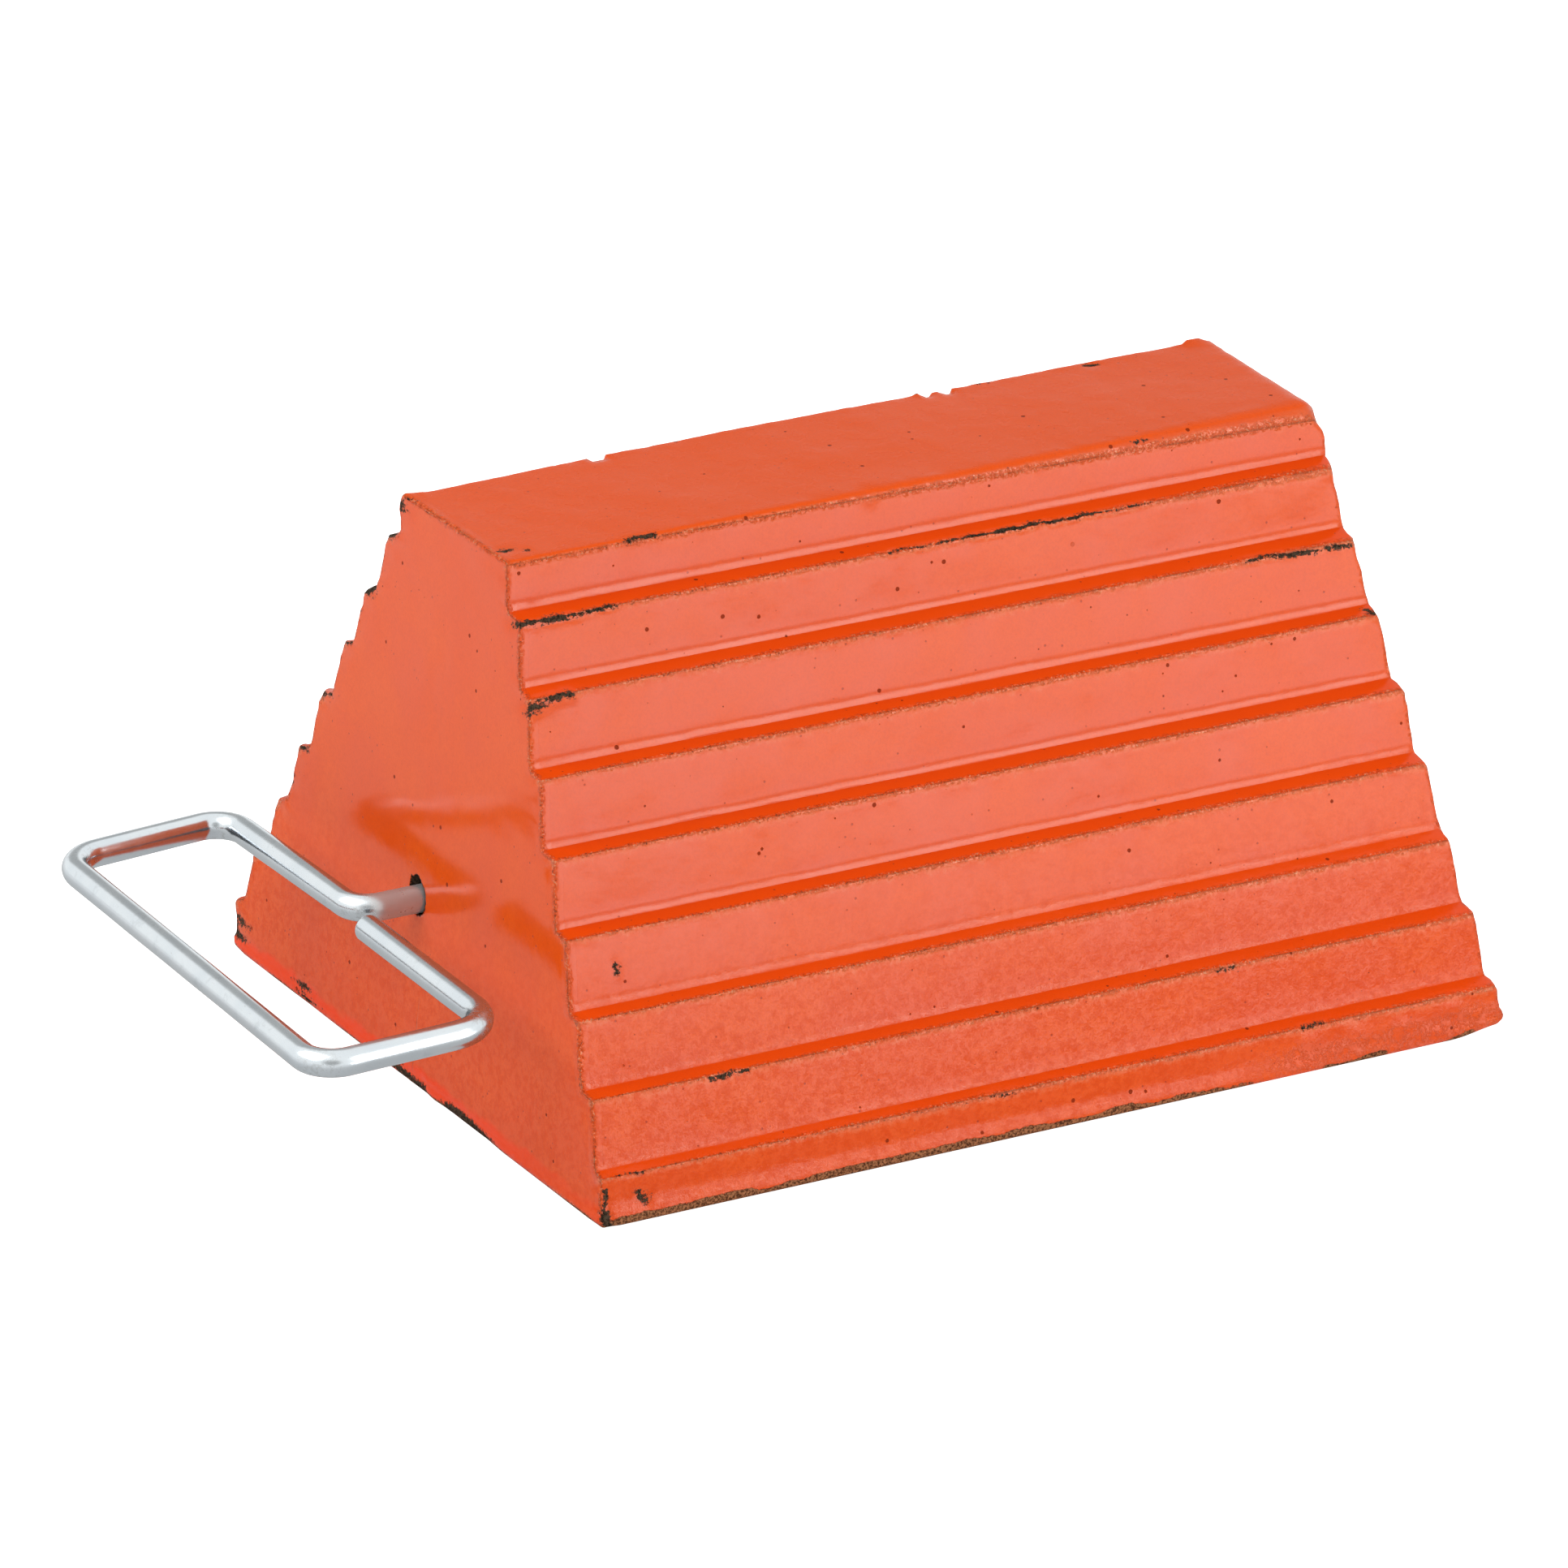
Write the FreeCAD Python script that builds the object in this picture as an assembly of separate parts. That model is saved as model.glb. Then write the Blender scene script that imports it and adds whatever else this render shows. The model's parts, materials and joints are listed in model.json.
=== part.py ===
import FreeCAD, Part
import math
import os

from FreeCAD import Vector

# Moulded rubber wheel chock with a steel pull handle.
# Frame: millimetres, +Z up. The origin is the centre of the flat base.
# +X runs along the length, away from the handle; the two serrated tyre
# faces look towards -Y and +Y.

# ---------------------------------------------------------------- block
BASE_LENGTH = 254.0          # nominal 10 in, along X at the base
BLOCK_HEIGHT = 144.4
END_DRAFT = 14.38            # each end face leans in by this much at the top
TOP_HALF_WIDTH = 26.8
BASE_HALF_WIDTH = 100.9      # close to a nominal 8 in across the base
# One row per ledge, top to bottom: height,
# half width at the foot of the riser above, half width at the outer lip
LEDGES = [
    (132.3, 29.2, 35.2),
    (115.4, 38.3, 43.4),
    (98.0, 47.2, 52.4),
    (80.9, 56.1, 62.3),
    (63.4, 66.0, 71.8),
    (45.9, 76.2, 81.0),
    (28.8, 84.9, 90.6),
    (12.6, 94.4, 98.8),
]
FOOT_RADIUS = 2.4            # hollow fillet at the foot of each riser
LIP_RADIUS = 0.7             # rounding of each ledge's outer lip
TOP_EDGE_RADIUS = 1.6
BASE_EDGE_RADIUS = 1.2
END_EDGE_RADIUS = 1.2        # rounding around the two end faces
CUT_MARGIN = 20.0            # how far cutting shapes reach past the block

# ------------------------------------------------------- bore and recess
SHANK_Y = 3.5                # the moulded hole sits a little off centre
SHANK_Z = 47.3
BORE_RADIUS = 4.1            # the thread passes through when assembled
RECESS_RADIUS = 17.5         # moulded recess for the washer and the nut
RECESS_FLOOR_X = 94.5
RECESS_FLOOR_RADIUS = 1.5
RECESS_CUT_LENGTH = 60.0     # runs out through the +X end face

# ---------------------------------------------------------------- handle
ROD_RADIUS = 3.5             # rod of the pitch diameter of a 5/16 in thread
THREAD_RADIUS = 3.95         # the rolled thread stands proud of the rod
THREAD_LENGTH = 28.0
THREAD_RUNOUT = 0.8
THREAD_ROOT_OVERLAP = 0.2    # the runout ends this far inside the rod
THREAD_END_X = 107.2
THREAD_CHAMFER = 1.0
# Centre-line corners of the rod after the thread end: x, y, bend radius
HANDLE_BENDS = [
    (-139.1, SHANK_Y, 6.5),  # shank into the bar near the block
    (-140.5, 71.3, 8.0),     # near bar, +Y corner
    (-188.2, 66.8, 11.0),    # outer bar, +Y corner
    (-190.9, -78.1, 8.0),    # outer bar, -Y corner
    (-142.0, -75.8, 12.0),   # near bar, -Y corner
]
FREE_END = Vector(-141.5, -6.6, SHANK_Z)
FREE_END_ROUNDING = 0.8

# -------------------------------------------------------------- hardware
WASHER_OUTER_RADIUS = 15.875   # 1 1/4 in fender washer for a 5/16 in rod
WASHER_HOLE_RADIUS = 4.37
WASHER_THICKNESS = 1.6
WASHER_CHAMFER = 0.25

NUT_X = RECESS_FLOOR_X + WASHER_THICKNESS
NUT_ACROSS_FLATS = 12.7        # 5/16 in lock nut
NUT_HEX_HEIGHT = 6.3
NUT_HEIGHT = 8.7
NUT_CHAMFER_DEG = 30.0
NUT_CHAMFER_INSET = 0.15       # the chamfers start this far inside the flats
NUT_CONE_MARGIN = 0.5          # chamfer cones reach this far past the corners
NUT_BORE_CHAMFER = 0.5
NUT_COLLAR_RADIUS = 5.9
NUT_COLLAR_OVERLAP = 0.5       # the collar starts this far inside the hexagon
NUT_COLLAR_BEVEL_LENGTH = 0.7
NUT_COLLAR_BEVEL_DEPTH = 0.75
NUT_LIP_RADIUS = 4.75          # mouth of the collar, rolled over the insert
NUT_LIP_THICKNESS = 0.35
NUT_CUT_MARGIN = 1.0           # the bore cutter reaches past both ends
INSERT_OUTER_RADIUS = 5.2
INSERT_THICKNESS = 1.9
INSERT_CHAMFER = 0.35
# Insert span along X, measured from the nut's washer side
INSERT_END = NUT_HEIGHT - NUT_LIP_THICKNESS
INSERT_START = INSERT_END - INSERT_THICKNESS
# Threads are plain: radial gaps over the thread
NUT_THREAD_GAP = 0.02
INSERT_THREAD_GAP = 0.01

X_AXIS = Vector(1, 0, 0)


# --------------------------------------------------------------- helpers
def on_shank(x):
    """Point on the shank axis."""
    return Vector(x, SHANK_Y, SHANK_Z)


def single(shape):
    """The largest solid in a shape, outward-facing."""
    solid = max(shape.Solids, key=lambda s: s.Volume)
    if solid.Volume < 0:
        solid.reverse()
    return solid


def revolve_on_shank(profile, x_start):
    """Revolve closed (x from x_start, radius) points about the shank axis."""
    points = [on_shank(x_start + x) + Vector(0, 0, r) for x, r in profile]
    face = Part.Face(Part.makePolygon(points + [points[0]]))
    return face.revolve(on_shank(0), X_AXIS, 360)


def corner_arc(before, corner, after, radius):
    """Start, middle and end of the arc that rounds a corner."""
    to_before = (before - corner).normalize()
    to_after = (after - corner).normalize()
    half_angle = to_before.getAngle(to_after) / 2.0
    setback = radius / math.tan(half_angle)
    bisector = (to_before + to_after).normalize()
    centre = corner + bisector * (radius / math.sin(half_angle))
    return (
        corner + to_before * setback,
        centre - bisector * radius,
        corner + to_after * setback,
    )


def rounded_polygon(rows):
    """Closed wire in the YZ plane through (y, z, corner radius) rows."""
    count = len(rows)
    corners = [Vector(0, y, z) for y, z, radius in rows]
    arcs = [
        corner_arc(corners[i - 1], corners[i], corners[(i + 1) % count], rows[i][2])
        for i in range(count)
    ]
    edges = []
    for i, (start, middle, end) in enumerate(arcs):
        next_start = arcs[(i + 1) % count][0]
        edges.append(Part.Arc(start, middle, end).toShape())
        edges.append(Part.LineSegment(end, next_start).toShape())
    return Part.Wire(edges)


# ----------------------------------------------------------------- block
def serrated_prism():
    """The stepped section, extruded with square ends."""
    half = [(TOP_HALF_WIDTH, BLOCK_HEIGHT, TOP_EDGE_RADIUS)]
    for z, foot, lip in LEDGES:
        half.append((foot, z, FOOT_RADIUS))
        half.append((lip, z, LIP_RADIUS))
    half.append((BASE_HALF_WIDTH, 0.0, BASE_EDGE_RADIUS))
    mirrored = [(-y, z, radius) for y, z, radius in reversed(half)]
    section = Part.Face(rounded_polygon(half + mirrored))
    prism = section.extrude(Vector(BASE_LENGTH, 0, 0))
    prism.translate(Vector(-BASE_LENGTH / 2, 0, 0))
    return prism


def end_x(z):
    """X of the +X drafted end face at height z."""
    return BASE_LENGTH / 2 - END_DRAFT / BLOCK_HEIGHT * z


def draft_prism():
    """Trapezoidal prism across the block; its slopes are the end faces."""
    y = -BASE_HALF_WIDTH - CUT_MARGIN
    low, high = -CUT_MARGIN, BLOCK_HEIGHT + CUT_MARGIN
    points = [
        Vector(-end_x(low), y, low),
        Vector(end_x(low), y, low),
        Vector(end_x(high), y, high),
        Vector(-end_x(high), y, high),
    ]
    side = Part.Face(Part.makePolygon(points + [points[0]]))
    return side.extrude(Vector(0, -2 * y, 0))


def round_ends(block):
    """Round the outlines of both end faces."""
    outline = []
    for edge in block.Edges:
        # The long edges touch both end faces, but their middles do not.
        middle = edge.valueAt((edge.FirstParameter + edge.LastParameter) / 2)
        if abs(abs(middle.x) - end_x(middle.z)) < 1e-3:
            outline.append(edge)
    # The fillet runs over many small arcs and may fail; the ends then stay sharp.
    try:
        rounded = block.makeFillet(END_EDGE_RADIUS, outline)
        if rounded.isValid() and rounded.Volume > 0.98 * block.Volume:
            return single(rounded)
    except Exception:
        pass
    return block


def recess_cutter():
    """Cylinder with a rounded floor edge, for the washer and nut recess."""
    recess = Part.makeCylinder(
        RECESS_RADIUS, RECESS_CUT_LENGTH, on_shank(RECESS_FLOOR_X), X_AXIS
    )
    floor_edges = [
        edge for edge in recess.Edges
        if abs(edge.BoundBox.XMax - RECESS_FLOOR_X) < 1e-4
    ]
    return recess.makeFillet(RECESS_FLOOR_RADIUS, floor_edges)


def chock_body():
    """The rubber block: serrated faces, drafted ends, bore and recess."""
    block = round_ends(single(serrated_prism().common(draft_prism())))
    bore = Part.makeCylinder(
        BORE_RADIUS,
        BASE_LENGTH + 2 * CUT_MARGIN,
        on_shank(-BASE_LENGTH / 2 - CUT_MARGIN),
        X_AXIS,
    )
    return single(block.cut(bore).cut(recess_cutter()))


# ---------------------------------------------------------------- handle
def rod_path():
    """Centre line of the rod: shank, then once around the loop."""
    bends = [Vector(x, y, SHANK_Z) for x, y, radius in HANDLE_BENDS]
    points = [on_shank(THREAD_END_X)] + bends + [FREE_END]
    edges = []
    last = points[0]
    for i, (x, y, radius) in enumerate(HANDLE_BENDS, start=1):
        start, middle, end = corner_arc(points[i - 1], points[i], points[i + 1], radius)
        edges.append(Part.LineSegment(last, start).toShape())
        edges.append(Part.Arc(start, middle, end).toShape())
        last = end
    edges.append(Part.LineSegment(last, FREE_END).toShape())
    return Part.Wire(edges)


def bent_rod():
    """Round rod swept along its path, with the free end's edge rounded."""
    ring = Part.Wire(Part.makeCircle(ROD_RADIUS, on_shank(THREAD_END_X), X_AXIS))
    rod = rod_path().makePipeShell([ring], True, True)
    # The sweep may come back as a closed shell.
    if rod.ShapeType != "Solid":
        rod = Part.Solid(rod)
    rod = single(rod)
    free_end_edges = [
        edge for edge in rod.Edges
        if edge.Curve.TypeId == "Part::GeomCircle"
        and len(edge.Vertexes) == 1
        and (edge.Curve.Center - FREE_END).Length < 1e-3
    ]
    return rod.makeFillet(FREE_END_ROUNDING, free_end_edges)


def rolled_thread():
    """Plain sleeve at the thread's major diameter, with a chamfered point."""
    profile = [
        (0, 0),
        (0, THREAD_RADIUS - THREAD_CHAMFER),
        (-THREAD_CHAMFER, THREAD_RADIUS),
        (-THREAD_LENGTH + THREAD_RUNOUT, THREAD_RADIUS),
        (-THREAD_LENGTH, ROD_RADIUS - THREAD_ROOT_OVERLAP),
        (-THREAD_LENGTH, 0),
    ]
    return revolve_on_shank(profile, THREAD_END_X)


def pull_handle():
    """Bent round rod: threaded shank end, shank, loop, free end."""
    # Trim the rod's tip so that the thread's chamfer forms the point.
    tip = Part.makeCylinder(
        THREAD_RADIUS + 1, THREAD_CHAMFER, on_shank(THREAD_END_X - THREAD_CHAMFER), X_AXIS
    )
    return single(bent_rod().cut(tip).fuse(rolled_thread()).removeSplitter())


# -------------------------------------------------------------- hardware
def fender_washer():
    """Large flat washer seated on the floor of the recess."""
    profile = [
        (0, WASHER_HOLE_RADIUS),
        (0, WASHER_OUTER_RADIUS - WASHER_CHAMFER),
        (WASHER_CHAMFER, WASHER_OUTER_RADIUS),
        (WASHER_THICKNESS - WASHER_CHAMFER, WASHER_OUTER_RADIUS),
        (WASHER_THICKNESS, WASHER_OUTER_RADIUS - WASHER_CHAMFER),
        (WASHER_THICKNESS, WASHER_HOLE_RADIUS),
    ]
    return single(revolve_on_shank(profile, RECESS_FLOOR_X))


def nut_hexagon():
    """Hexagon with both ends chamfered by a cone."""
    corner_radius = NUT_ACROSS_FLATS / 2 / math.cos(math.radians(30))
    points = []
    for i in range(7):
        angle = math.radians(60 * i + 30)
        offset = Vector(0, math.cos(angle), math.sin(angle)) * corner_radius
        points.append(on_shank(NUT_X) + offset)
    hexagon = Part.Face(Part.makePolygon(points)).extrude(Vector(NUT_HEX_HEIGHT, 0, 0))

    face_radius = NUT_ACROSS_FLATS / 2 - NUT_CHAMFER_INSET
    outer_radius = corner_radius + NUT_CONE_MARGIN
    rise = (outer_radius - face_radius) * math.tan(math.radians(NUT_CHAMFER_DEG))
    profile = [
        (0, 0),
        (0, face_radius),
        (rise, outer_radius),
        (NUT_HEX_HEIGHT - rise, outer_radius),
        (NUT_HEX_HEIGHT, face_radius),
        (NUT_HEX_HEIGHT, 0),
    ]
    return hexagon.common(revolve_on_shank(profile, NUT_X))


def nut_collar():
    """Round collar, still solid, on the +X side of the hexagon."""
    start = NUT_HEX_HEIGHT - NUT_COLLAR_OVERLAP
    profile = [
        (start, 0),
        (start, NUT_COLLAR_RADIUS),
        (NUT_HEIGHT - NUT_COLLAR_BEVEL_LENGTH, NUT_COLLAR_RADIUS),
        (NUT_HEIGHT, NUT_COLLAR_RADIUS - NUT_COLLAR_BEVEL_DEPTH),
        (NUT_HEIGHT, 0),
    ]
    return revolve_on_shank(profile, NUT_X)


def nut_hollow():
    """Cutter for the thread bore, the insert's pocket and the collar's mouth."""
    bore_radius = THREAD_RADIUS + NUT_THREAD_GAP
    profile = [
        (-NUT_CUT_MARGIN, 0),
        (-NUT_CUT_MARGIN, bore_radius + NUT_BORE_CHAMFER),
        (0, bore_radius + NUT_BORE_CHAMFER),
        (NUT_BORE_CHAMFER, bore_radius),
        (INSERT_START, bore_radius),
        (INSERT_START, INSERT_OUTER_RADIUS),
        (INSERT_END, INSERT_OUTER_RADIUS),
        (INSERT_END, NUT_LIP_RADIUS),
        (NUT_HEIGHT + NUT_CUT_MARGIN, NUT_LIP_RADIUS),
        (NUT_HEIGHT + NUT_CUT_MARGIN, 0),
    ]
    return revolve_on_shank(profile, NUT_X)


def lock_nut():
    """Hexagon lock nut with a round collar rolled over a nylon ring."""
    body = nut_hexagon().fuse(nut_collar())
    return single(body.cut(nut_hollow()).removeSplitter())


def lock_nut_insert():
    """Nylon ring held in the collar of the nut; it grips the thread."""
    inner_radius = THREAD_RADIUS + INSERT_THREAD_GAP
    profile = [
        (INSERT_START, inner_radius),
        (INSERT_START, INSERT_OUTER_RADIUS),
        (INSERT_END, INSERT_OUTER_RADIUS),
        (INSERT_END, THREAD_RADIUS + INSERT_CHAMFER),
        (INSERT_END - INSERT_CHAMFER, inner_radius),
    ]
    return single(revolve_on_shank(profile, NUT_X))


PIECES = [chock_body, pull_handle, fender_washer, lock_nut, lock_nut_insert]

# Each file is named after the function that builds its piece.
os.makedirs("parts", exist_ok=True)
for make in PIECES:
    shape = make()
    if not shape.isValid():
        raise ValueError(make.__name__ + " is not a valid solid")
    shape.exportStep("parts/" + make.__name__ + ".step")
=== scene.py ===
"""Moulded rubber wheel chock with a bent steel pull handle: the looks.

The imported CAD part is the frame. The block and the handle are rebuilt here as
dense structured meshes on the same dimensions; the washer and the lock nut
keep their CAD shape. Lengths are in millimetres until a mesh is written.
"""

import json
import math

import bpy
import numpy as np
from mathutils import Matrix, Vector


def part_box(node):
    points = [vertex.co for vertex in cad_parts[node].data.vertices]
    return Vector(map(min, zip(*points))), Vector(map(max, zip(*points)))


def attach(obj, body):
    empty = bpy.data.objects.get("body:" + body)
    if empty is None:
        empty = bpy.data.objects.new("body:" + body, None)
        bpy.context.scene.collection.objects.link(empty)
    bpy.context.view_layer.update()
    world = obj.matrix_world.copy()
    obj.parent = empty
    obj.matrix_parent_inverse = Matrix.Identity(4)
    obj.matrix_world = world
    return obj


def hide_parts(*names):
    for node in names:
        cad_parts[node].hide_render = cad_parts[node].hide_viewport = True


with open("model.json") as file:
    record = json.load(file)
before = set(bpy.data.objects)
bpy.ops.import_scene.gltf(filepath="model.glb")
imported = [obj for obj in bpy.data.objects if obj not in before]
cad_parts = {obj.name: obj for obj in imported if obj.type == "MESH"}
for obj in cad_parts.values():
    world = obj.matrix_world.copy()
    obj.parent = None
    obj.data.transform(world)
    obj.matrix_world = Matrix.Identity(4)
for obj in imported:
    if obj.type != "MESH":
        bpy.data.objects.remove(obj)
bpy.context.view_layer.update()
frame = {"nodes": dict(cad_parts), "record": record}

MM = 0.001

# ------------------------------------------------------------------ sizes
block_lo, block_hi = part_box("chock_body")
handle_lo, handle_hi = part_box("pull_handle")
joint = {j["name"]: j for j in frame["record"]["behaviour"]["joints"]}
AXIS_Y = joint["handle_swivel"]["pos_m"][1] * 1000
AXIS_Z = joint["handle_swivel"]["pos_m"][2] * 1000
H = block_hi.z * 1000
HALF_L = block_hi.x * 1000 + 0.11      # the base edge before it is rounded
BASE_W = block_hi.y * 1000 + 0.21
DRAFT = 14.38
KD = DRAFT / H

# (half width, height) of each foot and lip, from the top edge to the base
NOMINAL = [(26.8, H),
           (29.2, 132.3), (35.2, 132.3), (38.3, 115.4), (43.4, 115.4),
           (47.2, 98.0), (52.4, 98.0), (56.1, 80.9), (62.3, 80.9),
           (66.0, 63.4), (71.8, 63.4), (76.2, 45.9), (81.0, 45.9),
           (84.9, 28.8), (90.6, 28.8), (94.4, 12.6), (98.8, 12.6),
           (BASE_W, 0.0)]
FRONT_L = [(26.8, H),
           (29.1, 132.6), (35.6, 131.9), (38.3, 116.4), (43.2, 114.8),
           (46.9, 98.5), (52.5, 97.6), (55.9, 81.2), (62.3, 80.7),
           (65.8, 64.3), (71.7, 63.6), (76.0, 47.0), (80.9, 46.1),
           (85.1, 30.3), (90.6, 29.7), (95.0, 13.6), (98.4, 12.4),
           (BASE_W, 0.0)]
FRONT_R = [(27.0, H),
           (29.3, 131.6), (35.8, 130.6), (38.1, 115.5), (44.3, 113.9),
           (47.6, 97.7), (53.3, 96.8), (56.4, 80.8), (62.8, 79.6),
           (66.2, 64.1), (72.0, 62.8), (76.4, 46.8), (81.2, 45.1),
           (84.6, 29.8), (90.7, 28.5), (93.5, 13.1), (99.3, 11.9),
           (BASE_W, 0.0)]
REAR_L = [(26.4, H - 0.4),
          (28.9, 133.2), (34.6, 131.0), (37.9, 117.0), (43.6, 114.2),
          (47.6, 99.4), (52.3, 97.4), (56.4, 83.0), (62.6, 80.6),
          (65.6, 65.8), (71.6, 63.4), (75.1, 48.6), (80.6, 45.9),
          (84.5, 30.8), (90.2, 28.6), (93.8, 15.4), (98.0, 13.2),
          (BASE_W - 0.3, 0.0)]


# ------------------------------------------------------------------ noise
def _hash(ix, iy, iz, seed):
    m = np.uint64(0xFFFFFFFF)
    h = (ix.astype(np.uint64) * np.uint64(374761393)
         + iy.astype(np.uint64) * np.uint64(668265263)
         + iz.astype(np.uint64) * np.uint64(2246822519)
         + np.uint64(seed * 3266489917)) & m
    h = ((h ^ (h >> np.uint64(13))) * np.uint64(1274126177)) & m
    h = ((h ^ (h >> np.uint64(16))) * np.uint64(2654435761)) & m
    return (h ^ (h >> np.uint64(15))).astype(np.float64) / 4294967295.0 * 2 - 1


def noise(p, scale, seed):
    """Smooth lattice noise in -1..1 at points p (n x 3, mm); fixed by its seed."""
    q = np.asarray(p, float) / scale + 1000.0
    i = np.floor(q).astype(np.int64)
    f = q - i
    f = f * f * f * (f * (f * 6 - 15) + 10)
    out = np.zeros(len(q))
    for dx in (0, 1):
        wx = f[:, 0] if dx else 1 - f[:, 0]
        for dy in (0, 1):
            wy = f[:, 1] if dy else 1 - f[:, 1]
            for dz in (0, 1):
                wz = f[:, 2] if dz else 1 - f[:, 2]
                out += wx * wy * wz * _hash(i[:, 0] + dx, i[:, 1] + dy, i[:, 2] + dz, seed)
    return out


def fbm(p, scale, seed, octaves=3):
    total, amp = 0.0, 1.0
    for o in range(octaves):
        total = total + amp * noise(p, scale / 2 ** o, seed + o * 17)
        amp *= 0.5
    return total / (2 - 0.5 ** (octaves - 1))


def smooth(a, b, x):
    t = np.clip((np.asarray(x, float) - a) / (b - a), 0, 1)
    return t * t * (3 - 2 * t)


# ------------------------------------------------------- block cross-section
N_TOP, N_FOOT, N_LIP, N_BASE = 9, 8, 5, 4
N_RISER, N_LAST, N_LEDGE = 6, 9, 1
KIND, STEP = [], []                     # what each row of the side profile is
for c in range(18):
    name = "top" if c == 0 else "base" if c == 17 else "foot" if c % 2 else "lip"
    count = {"top": N_TOP, "foot": N_FOOT, "lip": N_LIP, "base": N_BASE}[name]
    KIND += [name] * count
    STEP += [(c + 1) // 2] * count
    if c < 17:
        n = N_LEDGE if name == "foot" else N_LAST if c == 16 else N_RISER
        KIND += ["ledge" if name == "foot" else "riser"] * n
        STEP += [(c + 1) // 2] * n
KIND = np.array(KIND)
STEP = np.array(STEP)
M = len(KIND)


FOOT_TURN = math.radians(23)


def side_profile(corners, radii, flare=1.0):
    """Rows (half width, height) down one side, with every corner rounded."""
    pts = [(0.0, corners[0][1])] + list(corners) + [(0.0, 0.0)]
    arcs = []
    for i in range(1, len(pts) - 1):
        p = np.array(pts[i])
        a, b = np.array(pts[i - 1]) - p, np.array(pts[i + 1]) - p
        la, lb = np.linalg.norm(a), np.linalg.norm(b)
        a, b = a / la, b / lb
        if 1 < i < 18 and i % 2 == 0:
            # a concave fillet that leaves the riser softly and meets the ledge crisply
            r = min(radii[i - 1], 0.8 * la, 1.6 * lb)
            out = b - (a @ b) * a
            out /= np.linalg.norm(out)
            k = r * (1 - math.cos(FOOT_TURN))
            drop = k * (out[0] * b[1] - out[1] * b[0]) / (a[0] * b[1] - a[1] * b[0])
            tangent_point = p + a * (r * math.sin(FOOT_TURN) - drop)
            t = FOOT_TURN * np.array([0, 0.2, 0.4, 0.6, 0.8, 0.96, 1.0])[:, None]
            arc = tangent_point - a * r * np.sin(t) + out * r * (1 - np.cos(t))
            arcs.append(np.concatenate([arc, [arc[-1] + b * 0.16]]))
            continue
        half = math.acos(max(-1, min(1, float(a @ b)))) / 2
        # a riser gives most of its length to whichever corner is larger
        cut = min(radii[i - 1] / math.tan(half), 0.62 * la, 0.62 * lb)
        if i == 1:
            cut = min(radii[0] / math.tan(half), 0.5 * lb)
        r = cut * math.tan(half)
        bis = (a + b) / np.linalg.norm(a + b)
        centre = p + bis * r / math.sin(half)
        s, e = p + a * cut - centre, p + b * cut - centre
        t0, t1 = math.atan2(s[1], s[0]), math.atan2(e[1], e[0])
        dt = (t1 - t0 + math.pi) % (2 * math.pi) - math.pi
        n = {1: N_TOP, 18: N_BASE}.get(i, N_FOOT if i % 2 == 0 else N_LIP)
        t = t0 + dt * np.linspace(0, 1, n)
        arcs.append(centre + r * np.stack([np.cos(t), np.sin(t)], 1))
    rows = []
    for i, arc in enumerate(arcs):
        rows.append(arc)
        if i < len(arcs) - 1:
            n = N_LEDGE if i % 2 == 1 else N_LAST if i == 16 else N_RISER
            t = np.linspace(0, 1, n + 2)[1:-1, None]
            if i == 16:
                # the last riser runs out in a small flared foot above the mould line
                t = np.array([0.12, 0.28, 0.42, 0.52, 0.60, 0.68, 0.76, 0.84, 0.93])[:, None]
                line_ = arc[-1] * (1 - t) + arcs[i + 1][0] * t
                hollow = 0.72 * flare * smooth(0, 0.58, t[:, 0]) * smooth(0.88, 0.62, t[:, 0])
                line_[:, 0] -= hollow
                rows.append(line_)
                continue
            rows.append(arc[-1] * (1 - t) + arcs[i + 1][0] * t)
    return np.concatenate(rows)


def mix_corners(a, b, t):
    return [((1 - t) * p[0] + t * q[0], (1 - t) * p[1] + t * q[1]) for p, q in zip(a, b)]


def section(w):
    """Front and rear rows at the fraction w of the length (0 at the handle end)."""
    top = float(np.interp(w, [0, 0.3, 0.46, 0.73, 0.93, 1], [1.1, 1.4, 2.1, 3.3, 4.4, 4.9]))
    lip = float(np.interp(w, [0, 0.04, 0.3, 1], [0.55, 0.7, 1.1, 1.4]))
    foot = 7.6
    front = [top]
    for c in range(1, 17):
        if c % 2:
            front.append(foot)
        else:
            up = {2: 2.3, 4: 1.6}.get(c, 1.3)
            front.append(lip + (up - 1.4) * float(smooth(0.75, 1, w)))
    front.append(1.2)
    rear = [1.4]
    worn = 1 - float(smooth(0.02, 0.3, w))
    for c in range(1, 17):
        rear.append(foot if c % 2 else 1.1 + 0.5 * worn)
    rear.append(1.4)
    f = side_profile(mix_corners(FRONT_L, FRONT_R, w), front, 1 - 0.85 * float(smooth(0.62, 0.84, w)))
    r = side_profile(mix_corners(NOMINAL, REAR_L, worn), rear)
    return f, r


# rows by which the end faces are rounded: the whole section slides inwards
lower = np.array([1.0 if k in ("riser", "base") and s == 8 else 0.0 for k, s in zip(KIND, STEP)])
last = np.where((STEP == 8) & (KIND == "lip"))[0][-1]
slide_z = np.full(M, -1.0)
slide_z[last:] = np.linspace(-1, 1, M - last)


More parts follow.
